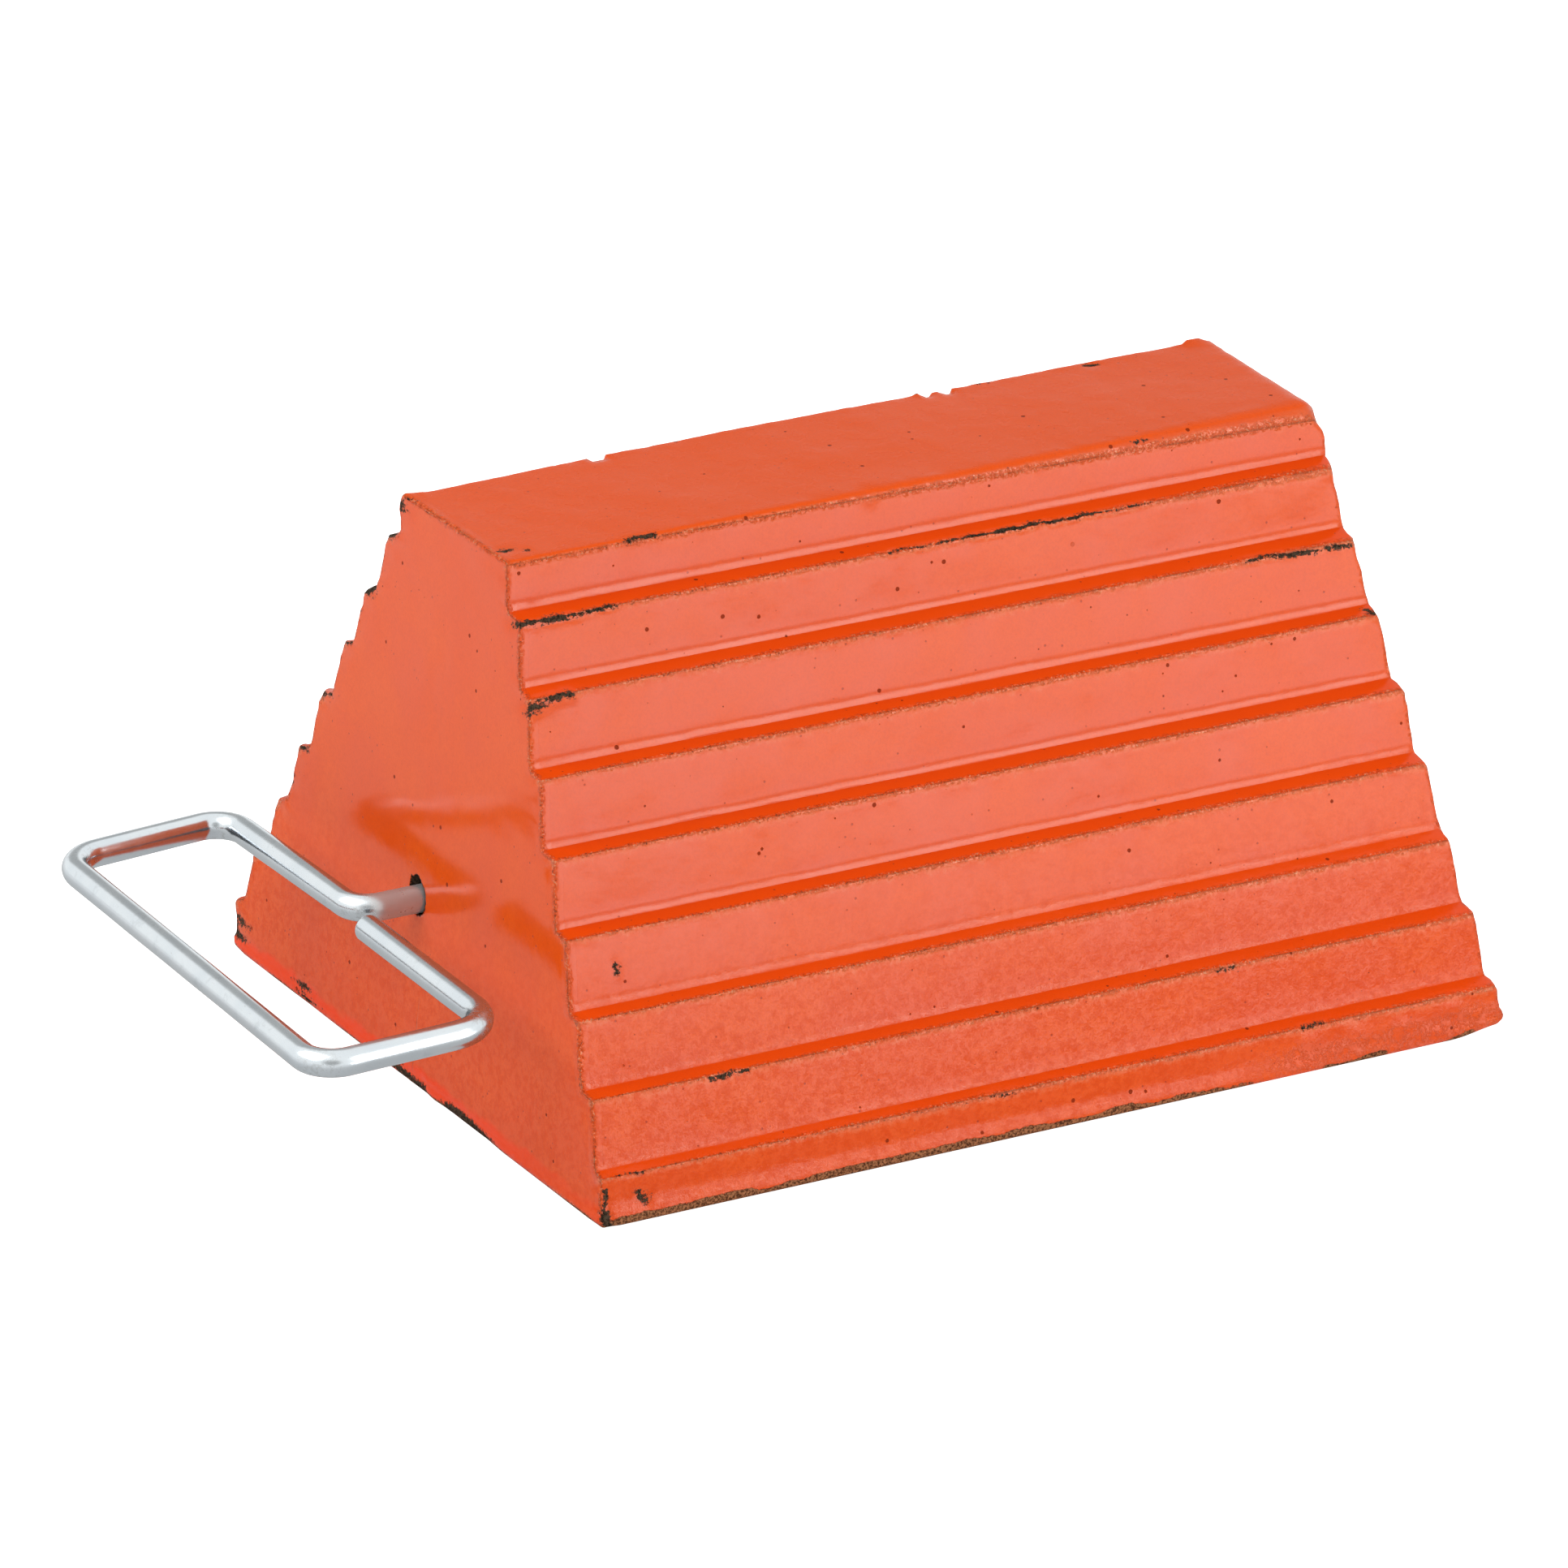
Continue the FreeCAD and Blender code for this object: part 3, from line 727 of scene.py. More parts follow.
# a swollen drip of paint on the rear top corner at the handle end
drip = np.exp(-(capsule(V, (-112.2, 25.2, 142.6), (-112.8, 26.6, 140.0)) / 2.6) ** 2) * free
V[:, 0] -= 0.9 * drip
V[:, 1] += 1.3 * drip
V[:, 2] += 0.3 * drip
# and the base corner at the far end is worn round
V[:, 2] += 1.7 * free * smooth(112, 127, V[:, 0]) * smooth(6.5, 0, V[:, 2]) * smooth(-40, -90, V[:, 1])
V[:, 2] = np.maximum(V[:, 2], 0.0)
# a lip of flash stands up at the far rear corner of the top
flash = smooth(106.6, 108.4, V[:, 0]) * smooth(113.4, 112.2, V[:, 0]) * smooth(3.4, 1.2, np.hypot(V[:, 1] - 26.8, V[:, 2] - H))
V[:, 2] += 0.7 * flash * free
V[:, 1] += 0.4 * flash * free
V[:, 2] = np.minimum(V[:, 2], H + 1.3)


def keep(a):
    return a[used]


def make_mesh(name, points_mm, polygons, attributes=None):
    me = bpy.data.meshes.new(name)
    me.from_pydata([tuple(p) for p in np.asarray(points_mm) * MM], [], polygons)
    me.update()
    for key, values in (attributes or {}).items():
        a = me.attributes.new(key, "FLOAT", "POINT")
        a.data.foreach_set("value", np.asarray(values, np.float32))
    me.polygons.foreach_set("use_smooth", [True] * len(me.polygons))
    me.validate()
    me.update()
    ob = bpy.data.objects.new(name, me)
    bpy.context.scene.collection.objects.link(ob)
    return ob


block = make_mesh("painted_block", keep(V), F, {
    "chip": keep(chip), "strip": keep(strip), "bare": keep(bare),
    "lip_d": keep(lip_d), "end_d": keep(end_d), "mouth": keep(mouth_mask)})

# ---------------------------------------------------------------- handle
ROD_R, THREAD_R = 3.5, 3.95
THREAD_END, THREAD_LEN, PITCH = handle_hi.x * 1000, 28.0, 25.4 / 18
PATH = [((THREAD_END, AXIS_Y), 0), ((-139.1, AXIS_Y), 6.5), ((-140.5, 71.3), 8.0),
        ((-188.2, 66.8), 11.0), ((-190.9, -78.1), 8.0), ((-142.0, -75.8), 12.0),
        ((-141.5, -6.6), 0)]
line, bend_at = [], []
for i, (p, r) in enumerate(PATH):
    p = np.array(p, float)
    if r == 0:
        line.append((p, 0.0))
        continue
    a = np.array(PATH[i - 1][0]) - p
    b = np.array(PATH[i + 1][0]) - p
    a, b = a / np.linalg.norm(a), b / np.linalg.norm(b)
    half = math.acos(float(a @ b)) / 2
    cut = r / math.tan(half)
    c = p + (a + b) / np.linalg.norm(a + b) * r / math.sin(half)
    s, e = p + a * cut - c, p + b * cut - c
    t0, t1 = math.atan2(s[1], s[0]), math.atan2(e[1], e[0])
    dt = (t1 - t0 + math.pi) % (2 * math.pi) - math.pi
    for k_ in range(25):
        t = t0 + dt * k_ / 24
        line.append((c + r * np.array([math.cos(t), math.sin(t)]), math.sin(math.pi * k_ / 24) ** 0.6))
dense, bends = [], []
for (p, bp), (q, bq) in zip(line[:-1], line[1:]):
    d = np.linalg.norm(q - p)
    in_thread = p[0] > THREAD_END - THREAD_LEN - 0.5 or q[0] > THREAD_END - THREAD_LEN - 0.5
    n = max(1, int(math.ceil(d / 1.6)))
    if in_thread and d > 5:
        xs = np.concatenate([np.arange(0, THREAD_LEN + 1.2, PITCH / 9), np.arange(THREAD_LEN + 1.6, d, 2.0)])
        for x in xs:
            dense.append(p + (q - p) * x / d)
            bends.append(0.0)
        continue
    for k_ in range(n):
        dense.append(p + (q - p) * k_ / n)
        bends.append(bp + (bq - bp) * k_ / n)
dense.append(line[-1][0])
bends.append(0.0)
dense = np.array(dense)
tangent = np.gradient(dense, axis=0)
tangent /= np.linalg.norm(tangent, axis=1)[:, None]
arc_len = np.concatenate([[0], np.cumsum(np.linalg.norm(np.diff(dense, axis=0), axis=1))])
SEG = 40
hv, hf, wear, cut_end = [], [], [], []
total = arc_len[-1]


def rod_ring(centre, tan, radius_of_angle, bend):
    side = np.array([tan[1], -tan[0]])
    out = []
    for k_ in range(SEG):
        a = 2 * math.pi * k_ / SEG
        r = radius_of_angle(a)
        s, u = math.cos(a) * r * (1 - 0.022 * bend), math.sin(a) * r * (1 + 0.012 * bend)
        out.append((centre[0] + side[0] * s, centre[1] + side[1] * s, AXIS_Z + u))
    return out


ring_list = []


def push(points, w_, c_):
    ids = list(range(len(hv), len(hv) + len(points)))
    hv.extend(points)
    wear.extend([w_] * len(points))
    cut_end.extend([c_] * len(points))
    if ring_list:
        a, b = ring_list[-1], ids
        for i in range(SEG):
            j = (i + 1) % SEG
            hf.append((a[i], b[i], b[j], a[j]))
    ring_list.append(ids)


ROOT = 3.95 - 0.82


def thread_radius(x, a):
    """Rolled 60 degree thread, fading into the plain shank."""
    ph = (x / PITCH - a / (2 * math.pi)) % 1.0
    tri = abs(ph - 0.5) * 2
    prof = ROOT + (THREAD_R - ROOT) * float(smooth(0.08, 0.92, tri))
    fade = float(smooth(THREAD_LEN - 2.2, THREAD_LEN, x))
    r = prof * (1 - fade) + ROD_R * fade
    return min(r, THREAD_R - 1.0 + x * 1.0 + 0.02)


first = dense[0]
for rr in (0.25, 1.2, 2.2):
    push(rod_ring(first, tangent[0], lambda a: rr, 0), 0.0, 1.0)
for p, t, b, x in zip(dense, tangent, bends, arc_len):
    if total - x < 1.0:
        continue
    if x < THREAD_LEN + 0.8:
        push(rod_ring(p, t, lambda a: thread_radius(x, a), 0), 0.6, 0.0)
    else:
        def radius(a):
            q = np.array([[p[0], p[1], 40 * a / 6.28]])
            return ROD_R + 0.012 * math.sin(x * 0.19 + 1.3) + 0.008 * math.sin(2 * a + x * 0.07)
        push(rod_ring(p, t, radius, b), b, 0.0)
end, te = dense[-1], tangent[-1]
for k_ in range(6):
    a = math.pi / 2 * k_ / 5
    c = end - te * (0.9 - 0.9 * math.sin(a))
    r = ROD_R - 0.9 + 0.9 * math.cos(a)
    push(rod_ring(c, te, lambda _a: r, 0), 0.5, smooth(0.4, 1.0, k_ / 5))
for rr in (1.9, 1.1, 0.3):
    push(rod_ring(end + te * 0.05, te, lambda _a: rr, 0), 0.5, 1.0)
hf.append(tuple(ring_list[0]))
hf.append(tuple(ring_list[-1][::-1]))
handle = make_mesh("bent_rod", hv, hf, {"bend": wear, "cut": cut_end})


# -------------------------------------------------------------- materials
class Tree:
    """Small helper: nodes by type, wired by name or number."""

    def __init__(self, name):
        self.mat = bpy.data.materials.new(name)
        self.mat.use_nodes = True
        self.t = self.mat.node_tree
        self.t.nodes.clear()
        self.out = self.t.nodes.new("ShaderNodeOutputMaterial")
        self.bsdf = self.t.nodes.new("ShaderNodeBsdfPrincipled")
        self.link(self.bsdf.outputs[0], self.out.inputs["Surface"])
        tc = self.t.nodes.new("ShaderNodeTexCoord")
        m = self.t.nodes.new("ShaderNodeVectorMath")
        m.operation = "SCALE"
        m.inputs["Scale"].default_value = 1000.0
        self.link(tc.outputs["Object"], m.inputs[0])
        self.pos = m.outputs[0]            # object space, in millimetres

    def link(self, a, b):
        self.t.links.new(a, b)

    def put(self, sock, v):
        if isinstance(v, bpy.types.NodeSocket):
            self.link(v, sock)
        elif v is not None:
            sock.default_value = v

    def noise(self, size, detail=3.0, rough=0.55, vec=None, distortion=0.0):
        n = self.t.nodes.new("ShaderNodeTexNoise")
        self.put(n.inputs["Vector"], vec or self.pos)
        n.inputs["Scale"].default_value = 1.0 / size
        n.inputs["Detail"].default_value = detail
        n.inputs["Roughness"].default_value = rough
        n.inputs["Distortion"].default_value = distortion
        return n.outputs[0]

    def voronoi(self, size, feature="F1", randomness=1.0):
        n = self.t.nodes.new("ShaderNodeTexVoronoi")
        n.feature = feature
        self.link(self.pos, n.inputs["Vector"])
        n.inputs["Scale"].default_value = 1.0 / size
        n.inputs["Randomness"].default_value = randomness
        return n

    def math(self, op, a, b=None, c=None, clamp=False):
        n = self.t.nodes.new("ShaderNodeMath")
        n.operation = op
        n.use_clamp = clamp
        for i, v in enumerate((a, b, c)):
            if v is not None:
                self.put(n.inputs[i], v)
        return n.outputs[0]

    def ramp(self, v, a, b, lo=0.0, hi=1.0):
        n = self.t.nodes.new("ShaderNodeMapRange")
        n.interpolation_type = "SMOOTHSTEP"
        self.put(n.inputs["Value"], v)
        for k_, x in (("From Min", a), ("From Max", b), ("To Min", lo), ("To Max", hi)):
            n.inputs[k_].default_value = x
        return n.outputs["Result"]

    def mix(self, f, a, b):
        n = self.t.nodes.new("ShaderNodeMix")
        n.data_type = "RGBA"
        self.put(n.inputs[0], f)
        for sock, v in ((n.inputs[6], a), (n.inputs[7], b)):
            self.put(sock, (*v, 1.0) if isinstance(v, tuple) and len(v) == 3 else v)
        return n.outputs[2]

    def attr(self, name):
        n = self.t.nodes.new("ShaderNodeAttribute")
        n.attribute_name = name
        return n.outputs["Fac"]

    def xyz(self):
        n = self.t.nodes.new("ShaderNodeSeparateXYZ")
        self.link(self.pos, n.inputs[0])
        return n.outputs

    def stretch(self, sx, sy, sz):
        n = self.t.nodes.new("ShaderNodeVectorMath")
        n.operation = "MULTIPLY"
        self.link(self.pos, n.inputs[0])
        n.inputs[1].default_value = (sx, sy, sz)
        return n.outputs[0]

    def bump(self, height, strength, distance_mm, normal=None):
        n = self.t.nodes.new("ShaderNodeBump")
        self.put(n.inputs["Height"], height)
        n.inputs["Strength"].default_value = strength
        n.inputs["Distance"].default_value = distance_mm * MM
        if normal is not None:
            self.link(normal, n.inputs["Normal"])
        return n.outputs[0]

    def set(self, **kw):
        for k_, v in kw.items():
            sock = self.bsdf.inputs[k_.replace("_", " ")]
            if isinstance(v, tuple) and len(v) == 3:
                v = (*v, 1.0)
            self.put(sock, v)


def painted_rubber():
    m = Tree("painted_rubber")
    chipf, stripf, bare_, mouth, lip_mm, end_mm = (
        m.attr(a) for a in ("chip", "strip", "bare", "mouth", "lip_d", "end_d"))
    x_, y_, z_ = m.xyz()
    geo = m.t.nodes.new("ShaderNodeNewGeometry")
    up = m.t.nodes.new("ShaderNodeSeparateXYZ")
    m.link(geo.outputs["True Normal"], up.inputs[0])
    upright = m.ramp(m.math("ABSOLUTE", up.outputs[2]), 0.80, 0.55)

    def jitter(n, amount):
        return m.math("MULTIPLY", m.math("SUBTRACT", n, 0.5), amount)

    wide, nine = m.noise(24, 2, 0.55), m.noise(8, 2, 0.55)
    coarse, rag, crisp = m.noise(2.4, 4, 0.8), m.noise(1.15, 4, 0.78), m.noise(0.62, 2, 0.7)
    # colour of the coat: one orange, a little thinner and darker in patches
    orange = m.mix(m.ramp(wide, 0.35, 0.68), (0.82, 0.084, 0.0030), (0.85, 0.100, 0.0050))
    orange = m.mix(m.ramp(coarse, 0.42, 0.72, 0.0, 0.45), orange, (0.76, 0.078, 0.003))
    flat_top = m.ramp(z_, H - 1.4, H - 0.5)     # the top is scuffed matt by boots and tyres
    orange = m.mix(flat_top, orange, (0.89, 0.095, 0.0042))
    orange = m.mix(m.ramp(crisp, 0.40, 0.66, 0.0, 0.22), orange, (0.62, 0.055, 0.003))
    low = m.ramp(z_, 75.0, 20.0)                # low down the relief is stronger, and upright faces are darker in patches
    mottle = m.math("MULTIPLY", m.math("MULTIPLY", upright, low), m.ramp(m.math("ADD", coarse, jitter(rag, 0.7)), 0.42, 0.60))
    orange = m.mix(m.math("MULTIPLY", mottle, 0.42), orange, (0.68, 0.054, 0.003))
    # painted reflection: the upward-facing ledges get a deeper, more saturated orange, standing in for the orange riser
    # that each ledge mirrors
    ledge = m.math("MULTIPLY", m.ramp(up.outputs[2], 0.45, 0.78), m.ramp(z_, H - 3.0, H - 5.0))
    orange = m.mix(m.math("MULTIPLY", ledge, 0.80), orange, (0.90, 0.074, 0.0022))
    # ragged loss of the coat where the chip field is strong
    worn = m.math("ADD", chipf, m.math("ADD", jitter(rag, 1.9), jitter(crisp, 0.6)))
    worn = m.math("MULTIPLY", worn, m.ramp(chipf, 0.04, 0.22))
    lost = m.ramp(worn, 0.56, 0.63)
    fringe = m.ramp(worn, 0.36, 0.56)
    # lips and end corners: a tan edge, a broken brown line, loose dark crumbs
    tan = m.math("MULTIPLY", upright, m.ramp(m.math("ADD", lip_mm, jitter(coarse, 6.0)), 2.2, 0.5))
    rim = m.math("MINIMUM", lip_mm, end_mm)
    near_ = m.math("ADD", rim, jitter(coarse, 2.6))
    hair = m.math("MULTIPLY", m.ramp(m.math("ADD", rim, jitter(rag, 1.5)), 0.20, 0.04),
                  m.ramp(nine, 0.42, 0.56, 0.20, 1.0))
    crust = m.math("MULTIPLY", m.ramp(crisp, 0.60, 0.65), m.ramp(near_, 1.05, 0.35))
    crust = m.math("MULTIPLY", crust, m.ramp(x_, 80.0, -60.0, 0.45, 1.0))
    pale = m.math("MULTIPLY", m.ramp(crisp, 0.43, 0.37), m.ramp(near_, 1.0, 0.35))
    # pinholes: a few in each square centimetre, and a finer dust of them
    pin = []
    for cell, lo, hi, share in ((5.2, 0.18, 0.56, 0.50), (2.2, 0.10, 0.30, 0.69)):
        v = m.voronoi(cell)
        sep = m.t.nodes.new("ShaderNodeSeparateColor")
        m.link(v.outputs["Color"], sep.inputs[0])
        d_ = m.math("ADD", m.math("MULTIPLY", v.outputs["Distance"], cell), jitter(crisp, 0.4 * hi))
        r_ = m.ramp(sep.outputs[1], 0.2, 1.0, lo, hi)
        pin.append(m.math("MULTIPLY", m.ramp(m.math("SUBTRACT", r_, d_), -0.05, 0.05),
                          m.ramp(sep.outputs[0], share, share + 0.02), clamp=True))
    hole, dust = pin
    lip_ = m.ramp(m.math("ADD", m.math("MULTIPLY", mouth, 0.9), jitter(rag, 1.0)), 0.80, 0.92)
    raw = m.ramp(m.math("ADD", stripf, jitter(rag, 0.8)), 0.52, 0.66)
    black = m.math("MAXIMUM", m.math("MAXIMUM", lost, bare_), lip_)
    # the coat is redder and less glossy in a band low on the handle end
    low_end = m.math("MULTIPLY", m.ramp(x_, -125.4, -126.0),
                     m.ramp(m.math("ADD", z_, jitter(nine, 5.0)), 6.4, 4.4))
    low_end = m.math("MULTIPLY", low_end, m.ramp(y_, -88.0, -40.0, 0.45, 1.0))
    # the mould's seam, a hairline under the hole
    seam = m.math("MULTIPLY", m.ramp(m.math("ABSOLUTE", m.math("ADD", y_, m.math("ADD", 1.2, jitter(wide, 2.0)))),
                                     0.34, 0.08),
                  m.math("MULTIPLY", m.ramp(x_, -121.5, -122.0),
                         m.math("MULTIPLY", m.ramp(z_, 41.0, 38.0), m.ramp(nine, 0.40, 0.56))))
    # colours
    # pale patches at the foot of the last riser, towards the far end: raised runs of paint in the relief, and in the
    # colour a painted highlight for the pinkish reflections on them
    paint_runs_and_highlight = m.math("MULTIPLY", m.ramp(coarse, 0.44, 0.60),
                  m.math("MULTIPLY", m.ramp(x_, 46.0, 70.0), m.ramp(m.math("ADD", z_, jitter(nine, 6.0)), 9.0, 6.0)))
    rubber = m.mix(m.ramp(crisp, 0.35, 0.65), (0.021, 0.013, 0.008), (0.090, 0.060, 0.039))
    brown = m.mix(m.ramp(crisp, 0.38, 0.62), (0.085, 0.030, 0.013), (0.40, 0.165, 0.075))
    col = m.mix(m.math("MULTIPLY", low_end, 0.80), orange, (0.97, 0.062, 0.008))
    # painted highlight: the pale pink of the runs stands in for their reflections
    col = m.mix(m.math("MULTIPLY", paint_runs_and_highlight, 0.42), col, (0.90, 0.19, 0.10))
    col = m.mix(m.math("MULTIPLY", tan, m.ramp(z_, 138.0, 140.0, 0.44, 0.22)), col, (0.84, 0.215, 0.085))
    col = m.mix(m.math("MULTIPLY", pale, 0.60), col, (0.82, 0.38, 0.20))
    col = m.mix(m.math("MULTIPLY", dust, 0.65), col, (0.36, 0.034, 0.010))
    col = m.mix(m.math("MULTIPLY", seam, 0.35), col, (0.30, 0.060, 0.020))
    col = m.mix(m.math("MULTIPLY", hole, 0.85), col, (0.23, 0.026, 0.009))
    col = m.mix(m.math("MULTIPLY", crust, 0.75), col, (0.19, 0.055, 0.024))
    col = m.mix(m.math("MULTIPLY", hair, 0.56), col, (0.27, 0.068, 0.025))
    col = m.mix(m.math("MULTIPLY", fringe, 0.60), col, (0.40, 0.075, 0.026))
    col = m.mix(raw, col, brown)
    col = m.mix(black, col, rubber)
    # painted shade in reflections: seen in a mirror reflection, in the rod and in the ledges, the coat is given a
    # darker brown colour
    mirror = m.t.nodes.new("ShaderNodeLightPath")
    col = m.mix(m.math("MULTIPLY", mirror.outputs["Is Glossy Ray"], 0.55), col, (0.36, 0.115, 0.065))
    end_face = m.ramp(end_mm, 0.8, 3.0)
    end_face = m.math("MULTIPLY", end_face, m.math("LESS_THAN", m.math("ADD", x_, m.math("MULTIPLY", z_, -KD)), -124.5))
    rough = m.math("ADD", 0.13, m.math("MULTIPLY", nine, 0.09))
    rough = m.math("SUBTRACT", rough, m.math("MULTIPLY", end_face, 0.05))
    rough = m.math("ADD", rough, m.math("MULTIPLY", flat_top, 0.10))
    loss = m.math("MAXIMUM", m.math("MAXIMUM", black, raw),
                  m.math("MAXIMUM", m.math("MULTIPLY", crust, 0.7), m.math("MULTIPLY", hair, 0.5)))
    rough = m.math("ADD", rough, m.math("MULTIPLY", loss, 0.42), clamp=True)
    gloss = m.math("MULTIPLY", m.math("SUBTRACT", 0.5, m.math("MULTIPLY", flat_top, 0.33)),
                   m.math("SUBTRACT", 1.0, m.math("MULTIPLY", m.math("MAXIMUM", loss, hole), 0.92)))
    gloss = m.math("MULTIPLY", gloss, m.math("SUBTRACT", m.ramp(wide, 0.30, 0.62, 1.04, 0.86),
                                             m.math("MULTIPLY", low_end, 0.45)))
    gloss = m.math("MULTIPLY", gloss, m.math("SUBTRACT", 1.0, m.math("MULTIPLY", ledge, 0.60)))
    gloss = m.math("MULTIPLY", gloss, m.math("SUBTRACT", 1.0, m.math("MULTIPLY", mottle, 0.40)))
    # relief, in millimetres: orange peel, brushy swells, pits, the step down
    # where the coat is missing, and crumbs of paint along the edges
    peel = m.math("MULTIPLY", coarse, m.math("ADD", 0.050, m.math("MULTIPLY", low, 0.165)))
    swell = m.math("MULTIPLY", nine, m.math("ADD", 0.09, m.math("MULTIPLY", low, 0.14)))
    relief = m.math("ADD", m.math("ADD", peel, swell), m.math("MULTIPLY", rag, 0.020))
    quiet = m.math("SUBTRACT", 1.0, m.math("MULTIPLY", end_face, 0.65))
    relief = m.math("MULTIPLY", relief, quiet)
    relief = m.math("ADD", relief, m.math("MULTIPLY", paint_runs_and_highlight, 0.16))
    relief = m.math("SUBTRACT", relief, m.math("MULTIPLY", m.math("ADD", hole, m.math("MULTIPLY", dust, 0.4)), 0.16))
    relief = m.math("SUBTRACT", relief, m.math("MULTIPLY", m.math("SUBTRACT", 1.5, crisp),
                                               m.math("MULTIPLY", loss, 0.15)))
    relief = m.math("SUBTRACT", relief, m.math("MULTIPLY", seam, 0.05))
    relief = m.math("ADD", relief, m.math("MULTIPLY", m.ramp(rag, 0.46, 0.64),
                                          m.math("MULTIPLY", m.ramp(near_, 1.4, 0.4), 0.17)))
    m.set(Base_Color=col, Roughness=rough, Normal=m.bump(relief, 1.0, 1.0), IOR=1.50,
          Specular_IOR_Level=gloss)
    return m.mat


def zinc(name, base, tint, roughness, patch, sleeve=False):
    m = Tree(name)
    big, mid = m.noise(11, 3, 0.55), m.noise(patch, 4, 0.6)
    streak = m.noise(1.0, 3, 0.6, vec=m.stretch(0.06, 0.9, 0.9))
    metal = 1.0
    col = m.mix(m.ramp(big, 0.3, 0.7), base, tint)
    col = m.mix(m.ramp(mid, 0.56, 0.74, 0.0, 0.30), col, tuple(0.72 * c for c in base))
    dust = m.noise(0.5, 2, 0.5)
    col = m.mix(m.ramp(dust, 0.70, 0.76, 0.0, 0.35), col, (0.30, 0.28, 0.25))
    rough = m.math("ADD", roughness, m.math("MULTIPLY", m.noise(3.0, 3, 0.6), 0.12))
    if sleeve:
        bend_, cut_ = m.attr("bend"), m.attr("cut")
        scuff = m.math("MULTIPLY", m.ramp(m.noise(1.6, 4, 0.75), 0.5, 0.62), m.ramp(bend_, 0.5, 1.0))
        col = m.mix(m.math("MULTIPLY", scuff, 0.35), col, (0.42, 0.42, 0.40))
        col = m.mix(m.math("MULTIPLY", cut_, 0.5), col, (0.50, 0.52, 0.52))
        rough = m.math("ADD", rough, m.math("ADD", m.math("MULTIPLY", scuff, 0.16), m.math("MULTIPLY", cut_, 0.2)))
        # the shank is rubbed dull where it slides in the hole; its pale grey, less metallic finish there is also a
        # painted reflection, standing in for the grey it shows from the shaded end face
        shank = m.ramp(m.xyz()[0], -138.0, -134.5)
        col = m.mix(m.math("MULTIPLY", shank, 0.5), col, (0.62, 0.61, 0.58))
        metal = m.math("SUBTRACT", 1.0, m.math("MULTIPLY", shank, 0.30))
        rough = m.math("ADD", rough, m.math("MULTIPLY", shank, 0.08))
    n1 = m.bump(m.math("ADD", streak, m.math("MULTIPLY", m.noise(5, 2, 0.5), 1.4)), 0.30, 0.06)
    n2 = m.bump(m.noise(0.55, 2, 0.7), 0.30, 0.03, n1)
    m.set(Base_Color=col, Metallic=metal, Roughness=rough, Normal=n2)
    return m.mat


def nylon():
    m = Tree("nylon")
    col = m.mix(m.ramp(m.noise(1.8, 3, 0.6), 0.3, 0.7), (0.66, 0.68, 0.60), (0.78, 0.79, 0.72))
    m.set(Base_Color=col, Roughness=m.math("ADD", 0.42, m.math("MULTIPLY", m.noise(0.9, 2, 0.5), 0.15)),
          Normal=m.bump(m.noise(0.5, 3, 0.6), 0.25, 0.04), Subsurface_Weight=0.15)
    m.bsdf.inputs["Subsurface Radius"].default_value = (0.001, 0.001, 0.001)
    return m.mat


block.data.materials.append(painted_rubber())
handle.data.materials.append(zinc("zinc_rod", (0.78, 0.84, 0.90), (0.84, 0.89, 0.94), 0.15, 4.0, True))
for node, mat in (("fender_washer", zinc("zinc_washer", (0.66, 0.68, 0.68), (0.74, 0.75, 0.74), 0.26, 3.0)),
                  ("lock_nut", zinc("zinc_nut", (0.70, 0.72, 0.72), (0.78, 0.79, 0.78), 0.20, 2.0)),
                  ("lock_nut_insert", nylon())):
    o = frame["nodes"][node]
    if o.material_slots:
        for s_ in o.material_slots:
            s_.link = "OBJECT"
            s_.material = mat
    else:
        o.data.materials.append(mat)

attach(block, "block")
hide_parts("chock_body")
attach(handle, "handle")
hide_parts("pull_handle")

# ------------------------------------------------------------------ stage
AZ, EL, DIST, LENS = math.radians(-28.7055), math.radians(22.2153), 3.20213, 296.38
TARGET = Vector((-0.021802, 0.0, 0.059216))
back = Vector((math.sin(AZ) * math.cos(EL), -math.cos(AZ) * math.cos(EL), math.sin(EL)))

floor_mesh = bpy.data.meshes.new("floor")
n_f, r_f = 96, 40.0
floor_mesh.from_pydata([(r_f * math.cos(2 * math.pi * i / n_f), r_f * math.sin(2 * math.pi * i / n_f), -0.0002)
                        for i in range(n_f)], [], [tuple(range(n_f))])
floor = bpy.data.objects.new("floor", floor_mesh)
bpy.context.scene.collection.objects.link(floor)
fm = Tree("pale_floor")
fm.set(Base_Color=(0.90, 0.90, 0.90), Roughness=0.9, Specular_IOR_Level=0.1,
       Emission_Color=(1.0, 1.0, 1.0))
floor_lp = fm.t.nodes.new("ShaderNodeLightPath")
fm.set(Emission_Strength=fm.math("ADD", 0.16, fm.math("MULTIPLY", floor_lp.outputs["Is Camera Ray"], 0.85)))
# painted shade in reflections: in mirror reflections the floor is a glowing sheet that gets darker towards the object
fx, fy, fz = fm.xyz()
reach = fm.math("SQRT", fm.math("ADD", fm.math("MULTIPLY", fx, fx), fm.math("MULTIPLY", fy, fy)))
glow = fm.t.nodes.new("ShaderNodeEmission")
glow.inputs[0].default_value = (0.985, 0.99, 0.975, 1.0)
